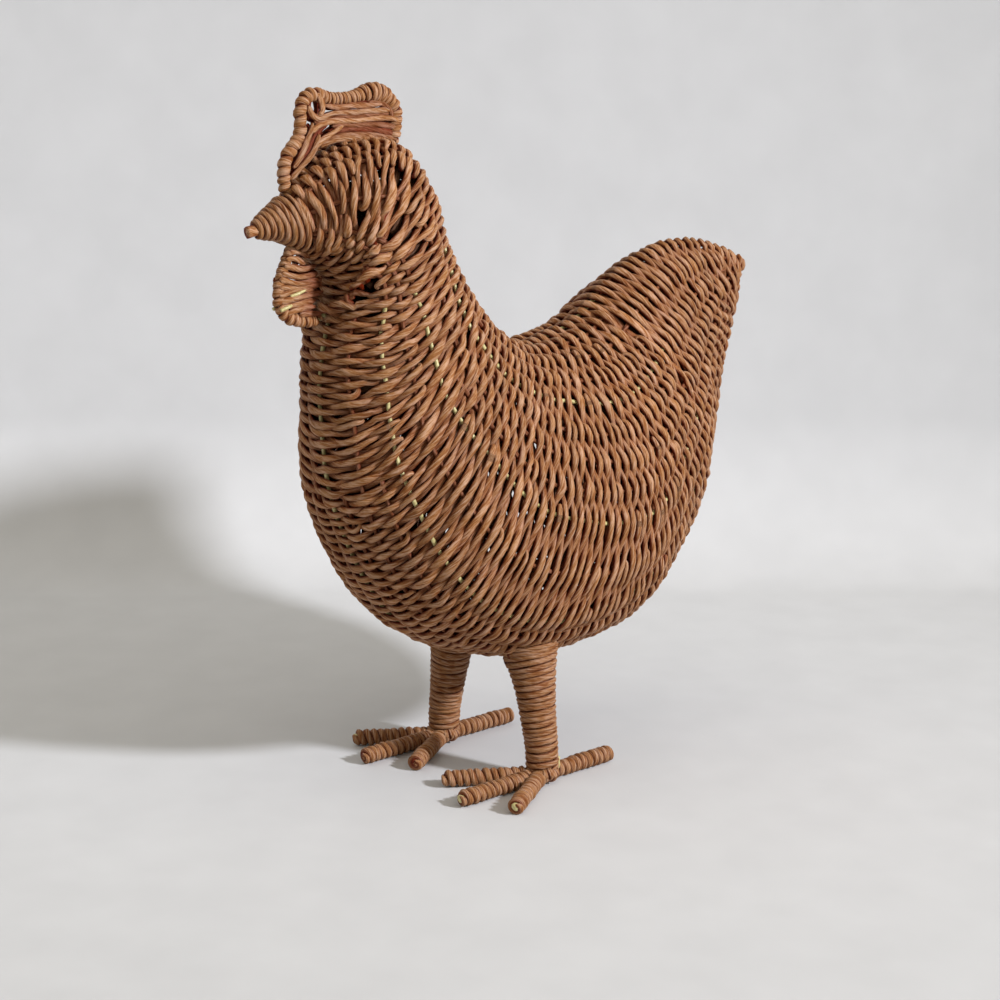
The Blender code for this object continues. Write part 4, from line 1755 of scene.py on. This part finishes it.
@dataclass
class Studio:
    """Seamless paper sweep, camera and lights."""

    azimuth: float = 49.3
    pitch: float = 13.5
    distance_m: float = 1.2005
    aim_right_m: float = 0.0047
    aim_up_m: float = 0.1479
    aim_back_m: float = 0.02115
    focal_px: float = 2117.0
    photo_px: float = 1000.0
    sensor_mm: float = 36.0
    floor_reach_m: float = 16.0  # behind the camera and to its sides
    floor_near_m: float = 2.5  # behind the camera, where the floor's faces get large
    wall_height_m: float = 3.2
    sweep_start_m: float = 1.475  # from the camera, along the floor
    sweep_radius_m: float = 0.11
    key_azimuth: float = 108.2
    key_elevation: float = 26.0
    key_distance_m: float = 1.31
    key_middle_m: float = 0.15  # height of the point that the angles and the distance start from
    key_size_m: float = 0.125
    key_spread: float = 110.0
    key_aim_m: Point = (-0.02, -0.05, 0.26)
    key_power: float = 4.6
    key_colour: str = "#F4F6FF"
    dome_top: float = 1.22
    dome_side: float = 0.09
    dome_rise: tuple[float, float] = (0.16, 0.90)  # sine of the angle up, where it brightens from and to
    dome_colour: str = "#FFFAF0"
    dome_seen: float = 0.5  # where the dome itself is looked at, past the paper

    def axes(self) -> tuple[Vector, Vector, Vector]:
        """The camera's right, up and backward directions.

        Returns:
            Three vectors of length one.
        """
        turn, tip = math.radians(self.azimuth), math.radians(self.pitch)
        right = Vector((math.cos(turn), math.sin(turn), 0.0))
        back = Vector((math.sin(turn) * math.cos(tip), -math.cos(turn) * math.cos(tip), math.sin(tip)))
        return right, back.cross(right), back

    def camera(self) -> Vector:
        """Adds the camera at the photograph's view.

        Returns:
            Where it stands.
        """
        right, up, back = self.axes()
        place = right * self.aim_right_m + up * self.aim_up_m + back * self.distance_m
        place -= Vector((0.0, self.aim_back_m, 0.0))
        data = bpy.data.cameras.new("studio_camera")
        data.sensor_width = self.sensor_mm
        data.lens = self.sensor_mm * self.focal_px / self.photo_px
        data.clip_start, data.clip_end = 0.05, 30.0
        made = bpy.data.objects.new("studio_camera", data)
        made.location = place
        made.rotation_euler = (-back).to_track_quat("-Z", "Y").to_euler()
        bpy.context.scene.collection.objects.link(made)
        bpy.context.scene.camera = made
        return place

    def sweep(self, eye: Vector) -> bpy.types.Object:
        """Adds the floor that curves up into the background.

        Args:
            eye: Where the camera stands.

        Returns:
            The sweep.
        """
        right, _, back = self.axes()
        away = Vector((-back.x, -back.y, 0.0)).normalized()
        foot = Vector((eye.x, eye.y, 0.0))
        start, radius = self.sweep_start_m, self.sweep_radius_m
        floor = (-self.floor_reach_m, -self.floor_near_m, 0.0, start * 0.5, start)
        profile = [(depth, 0.0) for depth in floor]
        for degrees in range(3, 91, 3):
            turn = math.radians(degrees)
            profile.append((start + radius * math.sin(turn), radius * (1 - math.cos(turn))))
        profile.append((profile[-1][0], self.wall_height_m))
        halved = self.floor_reach_m * 0.5 ** np.arange(5)
        sides = np.concatenate([-halved, [0.0], halved[::-1]])
        points = [
            foot + away * depth + right * side + Vector((0.0, 0.0, height))
            for depth, height in profile
            for side in sides
        ]
        width = len(sides)
        faces = [
            (row * width + i, row * width + i + 1, (row + 1) * width + i + 1, (row + 1) * width + i)
            for row in range(len(profile) - 1)
            for i in range(width - 1)
        ]
        mesh = bpy.data.meshes.new("paper_sweep")
        mesh.from_pydata([tuple(point) for point in points], [], faces)
        for face in mesh.polygons:
            face.use_smooth = True
        mesh.materials.append(StudioPaper().material())
        made = bpy.data.objects.new("paper_sweep", mesh)
        bpy.context.scene.collection.objects.link(made)
        return made

    def key_light(self) -> None:
        """Adds the small key light from the hen's left."""
        turn, tip = math.radians(self.key_azimuth), math.radians(self.key_elevation)
        middle = Vector((0.0, 0.0, self.key_middle_m))
        towards = Vector((math.sin(turn) * math.cos(tip), -math.cos(turn) * math.cos(tip), math.sin(tip)))
        place = middle + towards * self.key_distance_m
        data = bpy.data.lights.new("key_softbox", "AREA")
        data.shape = "DISK"
        data.size = self.key_size_m
        data.energy = self.key_power
        data.color = linear(self.key_colour)[:3]
        data.spread = math.radians(self.key_spread)
        data.use_nodes = True
        tree = data.node_tree
        falloff = add_node(tree, "ShaderNodeLightFalloff", None, {"Strength": 1.0})
        tree.links.new(falloff.outputs["Constant"], tree.nodes["Emission"].inputs["Strength"])
        made = bpy.data.objects.new("key_softbox", data)
        made.location = place
        made.rotation_euler = (Vector(self.key_aim_m) - place).to_track_quat("-Z", "Y").to_euler()
        bpy.context.scene.collection.objects.link(made)

    def dome(self) -> None:
        """Adds the soft light from all round, which is bright overhead."""
        world = bpy.data.worlds.new("studio_dome")
        world.use_nodes = True
        tree = world.node_tree
        ground = tree.nodes["Background"]
        ground.inputs["Color"].default_value = linear(self.dome_colour)
        direction = add_node(tree, "ShaderNodeTexCoord")
        height = add_node(tree, "ShaderNodeSeparateXYZ", links={"Vector": direction.outputs["Generated"]})
        dim, bright = self.dome_rise
        strength = add_node(
            tree,
            "ShaderNodeMapRange",
            None,
            {"From Min": dim, "From Max": bright, "To Min": self.dome_side, "To Max": self.dome_top},
            {"Value": height.outputs["Z"]},
        )
        seen = add_node(tree, "ShaderNodeLightPath")
        level = add_node(
            tree,
            "ShaderNodeMix",
            None,
            {3: self.dome_seen},
            {0: seen.outputs["Is Camera Ray"], 2: strength.outputs["Result"]},
        )
        tree.links.new(level.outputs[0], ground.inputs["Strength"])
        bpy.context.scene.world = world

    def build(self) -> None:
        """Sets up the camera, the sweep, the lights and the plain tone curve."""
        eye = self.camera()
        self.sweep(eye)
        self.key_light()
        self.dome()
        bpy.context.scene.view_settings.view_transform = "Standard"


def main() -> None:
    """Builds the hen piece by piece, then the studio."""
    logging.basicConfig(level=logging.INFO, format="%(message)s")
    paper = TwistedPaperRope().material()
    yellow = CoatedSteelWire().material()
    body = WovenBody()
    log.info("%d pairs of rows, %d of them short", body.pairs, int((~body.kept.all(axis=1)).sum()))
    body.weave(paper)
    body.lining(paper)
    body.frame_wires(yellow, paper)
    Beak().build(paper)
    FlatOpenwork("comb_openwork", "comb", COMB_RIM, COMB_STRANDS, COMB_TURNS).build(paper, yellow)
    wattle = FlatOpenwork(
        "wattle_openwork",
        "wattle",
        WATTLE_RIM,
        WATTLE_STRANDS,
        strand_width_mm=3.2,
        # painted shadow of the head on the wattle's strands near the neck
        dim_mm=(-150.0, -140.0),
        bare=WATTLE_WIRES,
        seed=8,
    )
    wattle.build(paper, yellow)
    for side in Side:
        Leg(side).build(paper)
        inner_toe, bare_tips = (56.0, (0, 1)) if side is Side.LEFT else (52.5, (1,))
        Foot(side, toes_mm=(59.5, 53.0, inner_toe, 52.5), bare_tips=bare_tips).build(paper, yellow)
    Studio().build()
    bpy.context.view_layer.update()


if __name__ == "__main__":
    main()
